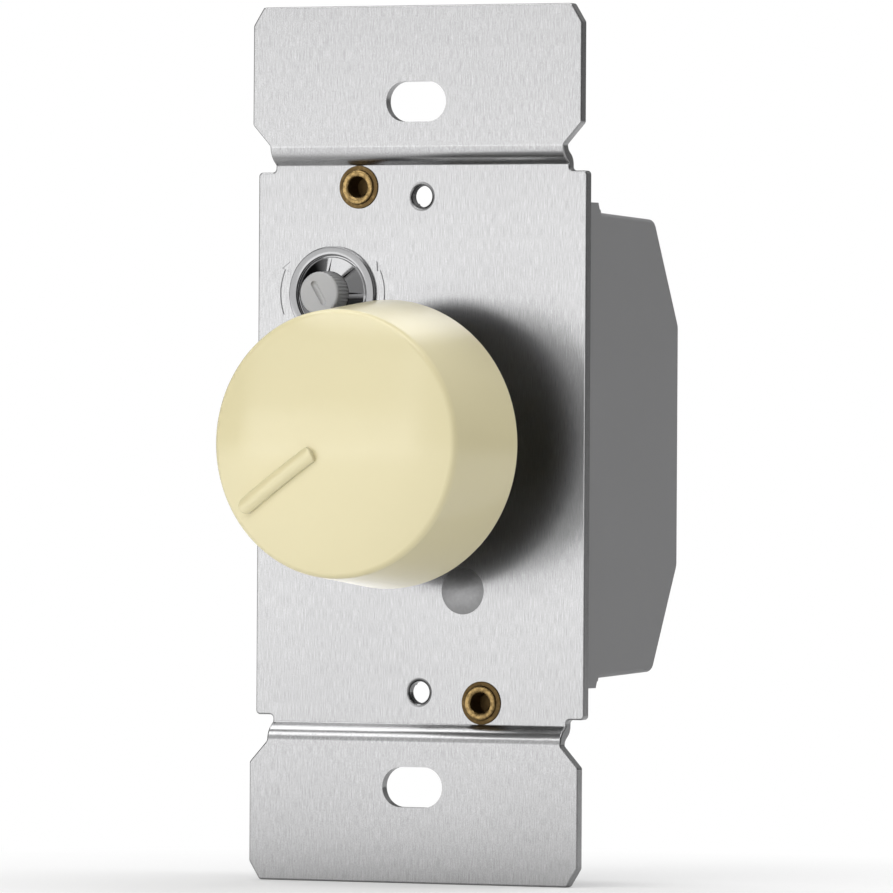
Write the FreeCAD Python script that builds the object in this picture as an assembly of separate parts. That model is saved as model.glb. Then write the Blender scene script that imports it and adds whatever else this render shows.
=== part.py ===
import FreeCAD, Part
import math
import os

# Fan speed control switch for a wall box, in mm.
# X runs to the viewer's right, Y into the wall and Z up.
# The origin is the centre of the mounting plate's front face, on the knob's axis.

# Mounting plate and its two ears, pressed from one sheet
PLATE_THICKNESS = 1.27
PLATE_WIDTH = 44.45
PLATE_END_MARGIN = 3.02
EAR_REACH = 11.68
EAR_STEP = 1.65
NECK_STEP = 2.355
NECK_LENGTH = 0.82
JOGGLE_LENGTH = 2.33
JOGGLE_LEAN = 56
EAR_INNER_CHAMFER_Z = 2.6
EAR_OUTER_CHAMFER_X = 1.4
EAR_OUTER_CHAMFER_Z = 2.25
SHEET_CORNER_RADIUS = 0.5
SHEET_EDGE_RADIUS = 0.2
CREASE_RADIUS = 0.2

# Openings in the sheet
BOX_SLOT_SPACING = 83.34
BOX_SLOT_LENGTH = 8.1
BOX_SLOT_HEIGHT = 4.9
SCREW_SPACING = 60.33
SCREW_BORE_RADIUS = 1.32
SCREW_ENTRY_ROUNDING = 0.4
RIVET_HOLE_CLEARANCE = 0.05
TURN_ARROW_DEPTH = 0.15
TURN_ARROW_WIDTH = 0.3
TURN_ARROW_RADIUS = 7.1
TURN_ARROW_TAIL = -21.0
TURN_ARROW_NECK = 24.0
TURN_ARROW_TIP = 34.0
TURN_ARROW_HEAD_HALF_WIDTH = 0.55

# Hollow rivets that hold the housing
RIVET_X = 8.5
RIVET_SCREW_STEP = 1.165
RIVET_HEAD_RADIUS = 2.62
RIVET_CREST_RADIUS = 2.05
RIVET_CREST_HEIGHT = 0.6
RIVET_SHANK_RADIUS = 1.6
RIVET_BORE_RADIUS = 1.25
RIVET_BORE_DEPTH = 2.8
RIVET_REAR_HEAD_RADIUS = 2.6
RIVET_REAR_HEAD_HEIGHT = 0.9

# Rear housing
HOUSING_SIDE_STEP = 0.725
HOUSING_REAR = 28.5
HOUSING_WALL = 2.0
HOUSING_FLANGE_DEPTH = 4.63
HOUSING_FLANGE_STEP = 1.0
HOUSING_FLANGE_ROUNDING = 2.2
HOUSING_SCREW_STEP = 1.765
HOUSING_DRAFT = 0.7
HOUSING_CHAMFER_DEPTH = 7.1
HOUSING_CHAMFER_DROP = 12.9
HOUSING_CORNER_RADIUS = 1.6
HOUSING_EDGE_RADIUS = 0.6
LUG_RADIUS = 3.0
LUG_THICKNESS = 3.0
SCREW_NOTCH_RADIUS = 2.75
POST_SIDE = 3.6
STAKE_RADIUS = 0.9
STAKE_HEAD_RADIUS = 1.4
STAKE_HEAD_HEIGHT = 0.7
WIRE_PORT_RADIUS = 1.6
WIRE_PORT_X = 8.0
WIRE_PORT_Z = -8.0

# Control bushing with its nut and washer
BUSHING_RADIUS = 4.76
BUSHING_FRONT = -5.2
BUSHING_FLANGE_STEP = 0.3
BUSHING_FLANGE_THICKNESS = 1.0
BUSHING_TAB_WIDTH = 2.8
BUSHING_TAB_THICKNESS = 1.0
BUSHING_TAB_HEIGHT = 0.9
BUSHING_TAB_OFFSET = 6.9
WASHER_RADIUS = 6.9
WASHER_THICKNESS = 0.6
NUT_ACROSS_FLATS = 12.7
NUT_THICKNESS = 2.4
NUT_CHAMFER = 0.35
THREAD_CLEARANCE = 0.06

# Rotary control behind the plate
CASE_RADIUS = 8.5
CASE_WALL = 0.8
CASE_DEPTH = 7.73
COVER_THICKNESS = 1.0
TRACK_THICKNESS = 0.8
TRACK_INNER_RADIUS = 4.4
TONGUE_HALF_WIDTH = 5.8
TONGUE_STEP = 1.1
CARRIER_RIM_GAP = 0.9
CARRIER_THICKNESS = 1.8
WIPER_THICKNESS = 0.3
WIPER_CONTACT_RADIUS = 0.4
WIPER_HALF_ANGLE = 25.0
TRACK_CONTACT_PLACES = (0.24, 0.52)
STOP_HALF_ANGLE = 20.0
STOP_LUG_ANGLE = 48.0
STOP_HEIGHT = 0.55
CAM_INNER_RADIUS = 3.9
CAM_RIM_STEP = 0.5
CAM_HALF_ANGLE = 18.0
CAM_HEIGHT = 1.6
LEAF_THICKNESS = 0.3
LEAF_WIDTH = 2.0
LEAF_RIM_STEP = 2.3
LEAF_END_STEP = 4.3
CONTACT_BUTTON_RADIUS = 0.8
TERMINAL_WIDTH = 1.4
TERMINAL_THICKNESS = 0.4
CONTROL_TERMINAL_PITCH = 4.0

# Control shaft
SHAFT_RADIUS = 3.0
SHAFT_FRONT = -21.5
SHAFT_FLAT_DEPTH = 0.7
SHAFT_FLAT_LENGTH = 13.5
SHAFT_COLLAR_RADIUS = 4.0
SHAFT_END_CHAMFER = 0.5

# Running and seating clearances
RUNNING_CLEARANCE = 0.05
SEAT_CLEARANCE = 0.02
INNER_CLEARANCE = 0.3

# Knob
KNOB_BASE_RADIUS = 17.5
KNOB_TAPER = 1.4
KNOB_BASE = -8.8
KNOB_EDGE = -23.2
KNOB_RISE = 2.6
KNOB_WALL = 1.9
KNOB_EDGE_ROUNDING = 0.9
KNOB_LIP_ROUNDING = 0.3
HUB_RADIUS = 5.4
HUB_RECESS = 1.0
POINTER_WIDTH = 2.0
POINTER_HEIGHT = 0.9
POINTER_INNER = 1.85
POINTER_INNER_END_RADIUS = 1.6
POINTER_CROWN_RADIUS = 1.3
POINTER_EDGE_GAP = 1.7
POINTER_ANGLE = 213.6
POINTER_ROUNDING = 0.15
SPRING_THICKNESS = 0.4
SPRING_WIDTH = 2.4
SPRING_LENGTH = 9.0

# Low speed trimmer
TRIM_EDGE_DISTANCE = 10.275
TRIM_SCREW_STEP = 11.815
TRIM_FRONT = -3.9
TRIM_HEAD_RADIUS = 2.7
TRIM_HEAD_DRAFT = 0.08
TRIM_HEAD_ROUNDING = 0.35
TRIM_TEETH = 36
TRIM_TOOTH_STEPS = 4
TRIM_TOOTH_DEPTH = 0.14
TRIM_SLOT_LENGTH = 3.4
TRIM_SLOT_RADIUS = 0.42
TRIM_SLOT_DEPTH = 0.34
TRIM_SLOT_ANGLE = -59.0
TRIM_HOLE_RADIUS = 3.2
TRIM_STEM_RADIUS = 2.2
TRIM_ROTOR_RADIUS = 3.4
TRIM_ROTOR_THICKNESS = 0.9
TRIM_BASE_SIDE = 8.6
TRIM_BASE_DEPTH = 4.8
TRIM_BASE_FLOOR = 1.6
TRIM_COVER_THICKNESS = 0.6
TRIM_CORNER_RADIUS = 1.0
RING_RADIUS = 5.78
RING_HEIGHT = 0.5
RING_LIP_RADIUS = 4.79
RING_VALLEY_RADIUS = 4.58
RING_SHEET = 0.26
RING_PETAL_HEIGHT = 1.1
RING_SLITS = 8
RING_SLIT_WIDTH = 0.28

# Power switch element riveted to the plate
TRIAC_X = 5.88
TRIAC_SCREW_STEP = 12.405
TRIAC_RIVET_HEAD_RADIUS = 2.85
TRIAC_RIVET_HEAD_HEIGHT = 0.45
TRIAC_RIVET_SHANK_RADIUS = 1.55
TRIAC_RIVET_REAR_RADIUS = 2.5
TRIAC_RIVET_REAR_HEIGHT = 0.8
PAD_THICKNESS = 0.25
PAD_MARGIN = 0.8
TAB_THICKNESS = 1.27
TAB_WIDTH = 10.0
TAB_LENGTH = 15.5
TAB_BEYOND_HOLE = 2.7
TRIAC_CASE_LENGTH = 9.2
TRIAC_CASE_DEPTH = 3.2
TRIAC_CASE_CHAMFER = 0.5
TRIAC_LEAD_PITCH = 2.54
TRIAC_LEAD_WIDTH = 0.8
TRIAC_LEAD_THICKNESS = 0.5
TRIAC_LEAD_REACH = 2.5

# Circuit board and the parts on it
BOARD_THICKNESS = 1.6
BOARD_MARGIN = 0.35
BOARD_END_MARGIN = 1.4
LEAD_RADIUS = 0.35
LEAD_STUB = 0.7
LEAD_HOLE_CLEARANCE = 0.12
CHOKE_SIDE_GAP = 1.3
CHOKE_END_GAP = 1.2
CHOKE_INNER_GAP = 0.4
CHOKE_WINDING_STEP = 1.0
CHOKE_LEAD_STEP = 1.2
CHOKE_FLANGE_THICKNESS = 1.5
CHOKE_POST_SHARE = 0.55
CHOKE_REAR_GAP = 1.9
CHOKE_TURNS = 10
FILTER_CAP_Z = 6.3
FILTER_CAP_SIDE_GAP = 1.5
FILTER_CAP_INNER_GAP = 1.0
FILTER_CAP_REAR_GAP = 1.9
FILTER_CAP_HEIGHT = 11.6
FILTER_CAP_LEAD_INSET = 1.4
TIMING_CAP_SIDE_GAP = 6.5
TIMING_CAP_END_GAP = 3.0
TIMING_CAP_WIDTH = 10.0
TIMING_CAP_DEPTH = 7.0
TIMING_CAP_HEIGHT = 5.0
TIMING_CAP_LEAD_INSET = 2.5
CAP_EDGE_RADIUS = 0.6
RESISTOR_X = 6.0
RESISTOR_END_GAPS = (6.5, 3.0)
RESISTOR_RADIUS = 1.2
RESISTOR_LENGTH = 6.5
RESISTOR_PITCH = 11.0
DIAC_SIDE_GAP = 2.5
DIAC_PORT_DROP = 4.8
DIAC_RADIUS = 0.95
DIAC_LENGTH = 4.0
DIAC_PITCH = 7.6
STAND_OFF = 0.3
CLAMP_SIDE = 6.0
CLAMP_WALL = 0.8
CLAMP_REAR_GAP = 3.9
CLAMP_TAIL_WIDTH = 2.0
TRIM_PINS = ((-2.5, -2.5), (2.5, -2.5), (0.0, 2.5))

# Planes and places that follow from the sizes above
BOX_SLOT_Z = BOX_SLOT_SPACING / 2
SCREW_Z = SCREW_SPACING / 2
PLATE_HALF_HEIGHT = SCREW_Z + PLATE_END_MARGIN
JOGGLE_START = PLATE_HALF_HEIGHT + NECK_LENGTH
JOGGLE_END = JOGGLE_START + JOGGLE_LENGTH
EAR_HALF_HEIGHT = BOX_SLOT_Z + EAR_REACH
RIVET_Z = SCREW_Z + RIVET_SCREW_STEP
NECK_HALF_WIDTH = PLATE_WIDTH / 2 - NECK_STEP
TRIM_X = TRIM_EDGE_DISTANCE - PLATE_WIDTH / 2
TRIM_Z = SCREW_Z - TRIM_SCREW_STEP
TRIAC_Z = TRIAC_SCREW_STEP - SCREW_Z
KNOB_EDGE_RADIUS = KNOB_BASE_RADIUS - KNOB_TAPER
KNOB_DOME_RADIUS = (KNOB_EDGE_RADIUS ** 2 + KNOB_RISE ** 2) / (2 * KNOB_RISE)
KNOB_DOME_CENTRE = KNOB_EDGE - KNOB_RISE + KNOB_DOME_RADIUS
POINTER_OUTER = KNOB_EDGE_RADIUS - POINTER_EDGE_GAP
HOUSING_WIDTH = PLATE_WIDTH - 2 * HOUSING_SIDE_STEP
HOUSING_BODY_HALF_HEIGHT = SCREW_Z - HOUSING_SCREW_STEP
HOUSING_CHAMFER_START = HOUSING_REAR - HOUSING_CHAMFER_DEPTH
HOUSING_FLANGE_HALF_HEIGHT = HOUSING_BODY_HALF_HEIGHT + HOUSING_FLANGE_STEP
HOUSING_REAR_HALF_HEIGHT = HOUSING_BODY_HALF_HEIGHT - HOUSING_DRAFT - HOUSING_CHAMFER_DROP
PLATE_BACK = PLATE_THICKNESS
CASE_FRONT = PLATE_BACK + BUSHING_FLANGE_THICKNESS
BUSHING_FLANGE_RADIUS = CASE_RADIUS - BUSHING_FLANGE_STEP
CASE_INNER_RADIUS = CASE_RADIUS - CASE_WALL
CARRIER_RADIUS = CASE_INNER_RADIUS - CARRIER_RIM_GAP
CAM_OUTER_RADIUS = CARRIER_RADIUS - CAM_RIM_STEP
TONGUE_REACH = CASE_RADIUS + TONGUE_STEP
TRACK_CONTACT_RADII = [TRACK_INNER_RADIUS + place * (CASE_INNER_RADIUS - TRACK_INNER_RADIUS)
                       for place in TRACK_CONTACT_PLACES]
LEAF_HALF_LENGTH = CASE_RADIUS - LEAF_END_STEP
LEAF_HIGH = CASE_RADIUS - LEAF_RIM_STEP
LEAF_LOW = LEAF_HIGH - LEAF_WIDTH
TRACK_FRONT = CASE_FRONT + CASE_WALL
TRACK_BACK = TRACK_FRONT + TRACK_THICKNESS
CARRIER_FRONT = TRACK_BACK + 4 * WIPER_THICKNESS
CARRIER_BACK = CARRIER_FRONT + CARRIER_THICKNESS
CASE_BACK = CASE_FRONT + CASE_DEPTH
COVER_BACK = CASE_BACK + COVER_THICKNESS
BOARD_FRONT = COVER_BACK + LEAD_STUB + INNER_CLEARANCE
BOARD_BACK = BOARD_FRONT + BOARD_THICKNESS
CAVITY_REAR = HOUSING_REAR - HOUSING_WALL
CAVITY_HALF_WIDTH = HOUSING_WIDTH / 2 - HOUSING_WALL
BOARD_HALF_WIDTH = CAVITY_HALF_WIDTH - BOARD_MARGIN
BOARD_HALF_HEIGHT = HOUSING_BODY_HALF_HEIGHT - HOUSING_WALL - BOARD_END_MARGIN
CHOKE_INNER_EDGE = LEAF_HALF_LENGTH + CHOKE_INNER_GAP
CHOKE_FLANGE_RADIUS = (CAVITY_HALF_WIDTH - CHOKE_SIDE_GAP - CHOKE_INNER_EDGE) / 2
CHOKE_WINDING_RADIUS = CHOKE_FLANGE_RADIUS - CHOKE_WINDING_STEP
CHOKE_POST_RADIUS = CHOKE_WINDING_RADIUS * CHOKE_POST_SHARE
CHOKE_X = CHOKE_INNER_EDGE + CHOKE_FLANGE_RADIUS
CHOKE_HEIGHT = CAVITY_REAR - BOARD_BACK - CHOKE_REAR_GAP
FILTER_CAP_LEFT = FILTER_CAP_SIDE_GAP - CAVITY_HALF_WIDTH
FILTER_CAP_RIGHT = -LEAF_HALF_LENGTH - FILTER_CAP_INNER_GAP
FILTER_CAP_CENTRE = ((FILTER_CAP_LEFT + FILTER_CAP_RIGHT) / 2, FILTER_CAP_Z)
FILTER_CAP_DEPTH = CAVITY_REAR - BOARD_BACK - FILTER_CAP_REAR_GAP
FILTER_CAP_SIZE = (FILTER_CAP_RIGHT - FILTER_CAP_LEFT, FILTER_CAP_DEPTH, FILTER_CAP_HEIGHT)
FILTER_CAP_PITCH = FILTER_CAP_SIZE[0] - 2 * FILTER_CAP_LEAD_INSET
TIMING_CAP_CENTRE = (CAVITY_HALF_WIDTH - TIMING_CAP_SIDE_GAP - TIMING_CAP_WIDTH / 2,
                     BOARD_HALF_HEIGHT - TIMING_CAP_END_GAP - TIMING_CAP_HEIGHT / 2)
TIMING_CAP_SIZE = (TIMING_CAP_WIDTH, TIMING_CAP_DEPTH, TIMING_CAP_HEIGHT)
TIMING_CAP_PITCH = TIMING_CAP_WIDTH - 2 * TIMING_CAP_LEAD_INSET
CHOKE_Z = TIMING_CAP_CENTRE[1] - TIMING_CAP_HEIGHT / 2 - CHOKE_END_GAP - CHOKE_FLANGE_RADIUS
RESISTOR_ROWS = [gap - BOARD_HALF_HEIGHT for gap in RESISTOR_END_GAPS]
DIAC_X = CAVITY_HALF_WIDTH - DIAC_SIDE_GAP - DIAC_PITCH / 2
DIAC_Z = WIRE_PORT_Z - DIAC_PORT_DROP
CLAMP_DEPTH = CAVITY_REAR - BOARD_BACK - CLAMP_REAR_GAP
TAB_FRONT = PLATE_BACK + PAD_THICKNESS
TAB_BACK = TAB_FRONT + TAB_THICKNESS
TAB_RIGHT = TRIAC_X + TAB_BEYOND_HOLE
TAB_LEFT = TAB_RIGHT - TAB_LENGTH
TRIAC_LEAD_X = TAB_LEFT - TRIAC_LEAD_REACH
LEAF_FRONT = CARRIER_BACK + CAM_HEIGHT + INNER_CLEARANCE
TRIM_BASE_FRONT = BOARD_FRONT - TRIM_BASE_DEPTH
TRIM_COVER_FRONT = TRIM_BASE_FRONT - TRIM_COVER_THICKNESS
NUT_BACK = -WASHER_THICKNESS
SHAFT_FLAT = SHAFT_RADIUS - SHAFT_FLAT_DEPTH
KNOB_HEIGHT = KNOB_BASE - KNOB_EDGE
STAKES = [(sx * (CAVITY_HALF_WIDTH - POST_SIDE / 2), sz * (BOARD_HALF_HEIGHT - POST_SIDE / 2))
          for sx in (-1, 1) for sz in (-1, 1)]


def vec(x, y, z):
    return FreeCAD.Vector(x, y, z)


# Plain shapes, each with its axis along Y

def disc(radius, y0, y1, x=0.0, z=0.0):
    return Part.makeCylinder(radius, y1 - y0, vec(x, y0, z), vec(0, 1, 0))


def tube(outer, inner, y0, y1, x=0.0, z=0.0):
    return disc(outer, y0, y1, x, z).cut(disc(inner, y0, y1, x, z))


def block(x0, x1, y0, y1, z0, z1):
    return Part.makeBox(x1 - x0, y1 - y0, z1 - z0, vec(x0, y0, z0))


def centred_block(width, height, y0, y1, x=0.0, z=0.0):
    return block(x - width / 2, x + width / 2, y0, y1, z - height / 2, z + height / 2)


def prism(outline, y0, y1):
    points = [vec(x, y0, z) for x, z in outline]
    face = Part.Face(Part.makePolygon(points + points[:1]))
    return face.extrude(vec(0, y1 - y0, 0))


def turned(profile, x=0.0, z=0.0):
    points = [vec(x + radius, y, z) for radius, y in profile]
    face = Part.Face(Part.makePolygon(points + points[:1]))
    return face.revolve(vec(x, 0, z), vec(0, 1, 0), 360)


def slot(length, height, y0, y1, x=0.0, z=0.0):
    radius = height / 2
    reach = length / 2 - radius
    ends = [disc(radius, y0, y1, x + side * reach, z) for side in (-1, 1)]
    return centred_block(2 * reach, height, y0, y1, x, z).fuse(ends).removeSplitter()


def sector(inner, outer, start, end, y0, y1, x=0.0, z=0.0):
    def at(radius, angle):
        turn = math.radians(angle)
        return vec(x + radius * math.cos(turn), y0, z + radius * math.sin(turn))
    middle = (start + end) / 2
    edges = [
        Part.Arc(at(outer, start), at(outer, middle), at(outer, end)).toShape(),
        Part.makeLine(at(outer, end), at(inner, end)),
        Part.Arc(at(inner, end), at(inner, middle), at(inner, start)).toShape(),
        Part.makeLine(at(inner, start), at(outer, start)),
    ]
    return Part.Face(Part.Wire(edges)).extrude(vec(0, y1 - y0, 0))


def wire(points, radius):
    shape = Part.makeSphere(radius, points[1])
    for a, b in zip(points, points[1:]):
        shape = shape.fuse(Part.makeCylinder(radius, (b - a).Length, a, b - a))
    return shape.removeSplitter()


def spun(shape, angle, x=0.0, z=0.0):
    copy = shape.copy()
    copy.rotate(vec(x, 0, z), vec(0, -1, 0), angle)
    return copy


def edges_along(shape, axis, test=lambda centre: True):
    found = []
    for edge in shape.Edges:
        if len(edge.Vertexes) != 2 or edge.Curve.TypeId != "Part::GeomLine":
            continue
        direction = edge.tangentAt(edge.FirstParameter)
        if abs(direction.dot(axis)) > 0.999 and test(edge.CenterOfMass):
            found.append(edge)
    return found


# Mounting plate

def sheet_section():
    lean = math.radians(JOGGLE_LEAN)
    corner = JOGGLE_START + EAR_STEP / math.tan(lean)
    ear_bend_radius = (JOGGLE_END - corner) / math.tan(lean / 2)
    shift = PLATE_THICKNESS * math.tan(lean / 2)
    ear_back = PLATE_BACK - EAR_STEP
    front = [(-EAR_STEP, EAR_HALF_HEIGHT), (-EAR_STEP, corner), (0.0, JOGGLE_START)]
    back = [(PLATE_BACK, JOGGLE_START + shift), (ear_back, corner + shift), (ear_back, EAR_HALF_HEIGHT)]
    upper = back + front
    lower = [(y, -z) for y, z in reversed(upper)]
    points = [vec(-PLATE_WIDTH / 2, y, z) for y, z in upper + lower]
    face = Part.Face(Part.makePolygon(points + points[:1]))
    sheet = face.extrude(vec(PLATE_WIDTH, 0, 0))
    bends = [
        (ear_bend_radius, -EAR_STEP, corner),
        (ear_bend_radius - PLATE_THICKNESS, ear_back, corner + shift),
        (CREASE_RADIUS, 0.0, JOGGLE_START),
        (CREASE_RADIUS + PLATE_THICKNESS, PLATE_BACK, JOGGLE_START + shift),
    ]
    for radius, y, z in bends:
        edges = edges_along(sheet, vec(1, 0, 0),
                            lambda centre: abs(centre.y - y) < 0.01 and abs(abs(centre.z) - z) < 0.01)
        sheet = sheet.makeFillet(radius, edges)
    return sheet


def sheet_outline():
    half = PLATE_WIDTH / 2
    quarter = [
        (half, PLATE_HALF_HEIGHT),
        (NECK_HALF_WIDTH, PLATE_HALF_HEIGHT),
        (NECK_HALF_WIDTH, JOGGLE_END),
        (half, JOGGLE_END + EAR_INNER_CHAMFER_Z),
        (half, EAR_HALF_HEIGHT - EAR_OUTER_CHAMFER_Z),
        (half - EAR_OUTER_CHAMFER_X, EAR_HALF_HEIGHT),
    ]
    top = quarter + [(-x, z) for x, z in reversed(quarter)]
    outline = top + [(-x, -z) for x, z in top]
    return prism(outline, -EAR_STEP - 1, PLATE_BACK + 1)


def turn_arrow(side):
    shaft = sector(TURN_ARROW_RADIUS - TURN_ARROW_WIDTH / 2, TURN_ARROW_RADIUS + TURN_ARROW_WIDTH / 2,
                   TURN_ARROW_TAIL, TURN_ARROW_NECK + 1, 0.0, TURN_ARROW_DEPTH)

    def at(radius, angle):
        turn = math.radians(angle)
        return (radius * math.cos(turn), radius * math.sin(turn))
    head = prism([at(TURN_ARROW_RADIUS - TURN_ARROW_HEAD_HALF_WIDTH, TURN_ARROW_NECK),
                  at(TURN_ARROW_RADIUS + TURN_ARROW_HEAD_HALF_WIDTH, TURN_ARROW_NECK),
                  at(TURN_ARROW_RADIUS, TURN_ARROW_TIP)], 0.0, TURN_ARROW_DEPTH)
    arrow = shaft.fuse(head)
    if side < 0:
        arrow = arrow.mirror(vec(0, 0, 0), vec(1, 0, 0))
    arrow.translate(vec(TRIM_X, 0, TRIM_Z))
    return arrow


def mounting_plate():
    outline = sheet_outline()
    outline = outline.makeFillet(SHEET_CORNER_RADIUS, edges_along(outline, vec(0, 1, 0)))
    plate = sheet_section().common(outline)
    rim = [edge for edge in edges_along(plate, vec(0, 0, 1))
           if abs(edge.CenterOfMass.y) < 0.01 and abs(edge.CenterOfMass.x) > NECK_HALF_WIDTH]
    plate = plate.makeFillet(SHEET_EDGE_RADIUS, rim)
    for side in (-1, 1):
        plate = plate.cut(disc(SCREW_BORE_RADIUS, -1, PLATE_BACK + 1, 0, side * SCREW_Z))
        plate = plate.cut(slot(BOX_SLOT_LENGTH, BOX_SLOT_HEIGHT, -EAR_STEP - 1, PLATE_BACK, 0,
                               side * BOX_SLOT_Z))
        plate = plate.cut(disc(RIVET_SHANK_RADIUS + RIVET_HOLE_CLEARANCE, -1, PLATE_BACK + 1,
                               -side * RIVET_X, side * RIVET_Z))
        plate = plate.cut(turn_arrow(side))
    holes = [
        disc(TRIAC_RIVET_SHANK_RADIUS + RIVET_HOLE_CLEARANCE, -1, PLATE_BACK + 1, TRIAC_X, TRIAC_Z),
        disc(TRIM_HOLE_RADIUS, -1, PLATE_BACK + 1, TRIM_X, TRIM_Z),
        disc(BUSHING_RADIUS + THREAD_CLEARANCE, -1, PLATE_BACK + 1),
        centred_block(BUSHING_TAB_WIDTH + 2 * INNER_CLEARANCE, BUSHING_TAB_THICKNESS + 2 * INNER_CLEARANCE,
                      -1, PLATE_BACK + 1, 0, -BUSHING_TAB_OFFSET),
    ]
    plate = plate.cut(holes).removeSplitter()
    entries = [edge for edge in plate.Edges
               if edge.Curve.TypeId == "Part::GeomCircle" and abs(edge.Curve.Center.y) < 0.01
               and abs(edge.Curve.Radius - SCREW_BORE_RADIUS) < 0.01]
    return plate.makeFillet(SCREW_ENTRY_ROUNDING, entries)


# Rivets

def housing_rivet(x, z):
    lug_back = PLATE_BACK + LUG_THICKNESS
    crest = -RIVET_CREST_HEIGHT
    profile = [
        (0.0, crest + RIVET_BORE_DEPTH),
        (RIVET_BORE_RADIUS, crest + RIVET_BORE_DEPTH),
        (RIVET_BORE_RADIUS, crest * 0.5),
        (RIVET_BORE_RADIUS + 0.06, crest * 0.78),
        (RIVET_BORE_RADIUS + 0.2, crest * 0.94),
        (RIVET_BORE_RADIUS + 0.4, crest),
        (RIVET_CREST_RADIUS - 0.25, crest),
        (RIVET_CREST_RADIUS - 0.08, crest * 0.9),
        (RIVET_CREST_RADIUS, crest * 0.72),
        (RIVET_CREST_RADIUS + 0.06, crest * 0.42),
        (RIVET_CREST_RADIUS + 0.2, crest * 0.36),
        (RIVET_HEAD_RADIUS - 0.12, crest * 0.32),
        (RIVET_HEAD_RADIUS, crest * 0.16),
        (RIVET_HEAD_RADIUS - 0.05, 0.0),
        (RIVET_SHANK_RADIUS, 0.0),
        (RIVET_SHANK_RADIUS, lug_back),
        (RIVET_REAR_HEAD_RADIUS, lug_back),
        (RIVET_REAR_HEAD_RADIUS * 0.8, lug_back + RIVET_REAR_HEAD_HEIGHT * 0.7),
        (RIVET_REAR_HEAD_RADIUS * 0.4, lug_back + RIVET_REAR_HEAD_HEIGHT),
        (0.0, lug_back + RIVET_REAR_HEAD_HEIGHT),
    ]
    return turned(profile, x, z)


def housing_rivets():
    return Part.makeCompound([housing_rivet(-side * RIVET_X, side * RIVET_Z) for side in (-1, 1)])


def triac_rivet():
    height = TRIAC_RIVET_HEAD_HEIGHT
    sphere_radius = (TRIAC_RIVET_HEAD_RADIUS ** 2 + height ** 2) / (2 * height)
    dome = Part.makeSphere(sphere_radius, vec(TRIAC_X, sphere_radius - height, TRIAC_Z))
    head = disc(TRIAC_RIVET_HEAD_RADIUS, -height, 0.0, TRIAC_X, TRIAC_Z).common(dome)
    shank = disc(TRIAC_RIVET_SHANK_RADIUS, 0.0, TAB_BACK, TRIAC_X, TRIAC_Z)
    rear = disc(TRIAC_RIVET_REAR_RADIUS, TAB_BACK, TAB_BACK + TRIAC_RIVET_REAR_HEIGHT, TRIAC_X, TRIAC_Z)
    return head.fuse([shank, rear]).removeSplitter()


# Rear housing

def body_section(inset):
    top = [(PLATE_BACK, HOUSING_BODY_HALF_HEIGHT),
           (HOUSING_CHAMFER_START, HOUSING_BODY_HALF_HEIGHT - HOUSING_DRAFT),
           (HOUSING_REAR, HOUSING_REAR_HALF_HEIGHT)]
    outline = top + [(y, -z) for y, z in reversed(top)]
    points = [vec(inset - HOUSING_WIDTH / 2, y, z) for y, z in outline]
    face = Part.Face(Part.makePolygon(points + points[:1]))
    if inset:
        face = face.makeOffset2D(-inset, 2)
    return face.extrude(vec(HOUSING_WIDTH - 2 * inset, 0, 0))


def housing_shell():
    body = body_section(0.0)
    bends = edges_along(body, vec(1, 0, 0), lambda centre: centre.y > PLATE_BACK + 1)
    body = body.makeFillet(HOUSING_CORNER_RADIUS, bends)
    flange = centred_block(HOUSING_WIDTH, 2 * HOUSING_FLANGE_HALF_HEIGHT, PLATE_BACK,
                           PLATE_BACK + HOUSING_FLANGE_DEPTH)
    step = HOUSING_FLANGE_HALF_HEIGHT - HOUSING_BODY_HALF_HEIGHT
    flange_bends = edges_along(flange, vec(1, 0, 0), lambda centre: centre.y > PLATE_BACK + 1)
    flange = flange.makeChamfer(HOUSING_FLANGE_ROUNDING, step, flange_bends)
    shell = body.fuse(flange)
    long_edges = [edge for edge in shell.Edges
                  if abs(abs(edge.CenterOfMass.x) - HOUSING_WIDTH / 2) < 0.01
                  and edge.CenterOfMass.y > PLATE_BACK + HOUSING_FLANGE_DEPTH + 0.1]
    return shell.makeFillet(HOUSING_EDGE_RADIUS, long_edges)


def housing_cavity():
    cavity = body_section(HOUSING_WALL)
    mouth_half = HOUSING_BODY_HALF_HEIGHT - HOUSING_WALL
    mouth = centred_block(2 * CAVITY_HALF_WIDTH, 2 * mouth_half, PLATE_BACK - 1,
                          PLATE_BACK + HOUSING_WALL + 0.5)
    return cavity.fuse(mouth)


def rivet_lug(side):
    x, z = -side * RIVET_X, side * RIVET_Z
    back = PLATE_BACK + LUG_THICKNESS
    inner = side * (HOUSING_BODY_HALF_HEIGHT - HOUSING_WALL / 2)
    web = block(x - LUG_RADIUS, x + LUG_RADIUS, PLATE_BACK, back, min(z, inner), max(z, inner))
    return disc(LUG_RADIUS, PLATE_BACK, back, x, z).fuse(web)


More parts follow.
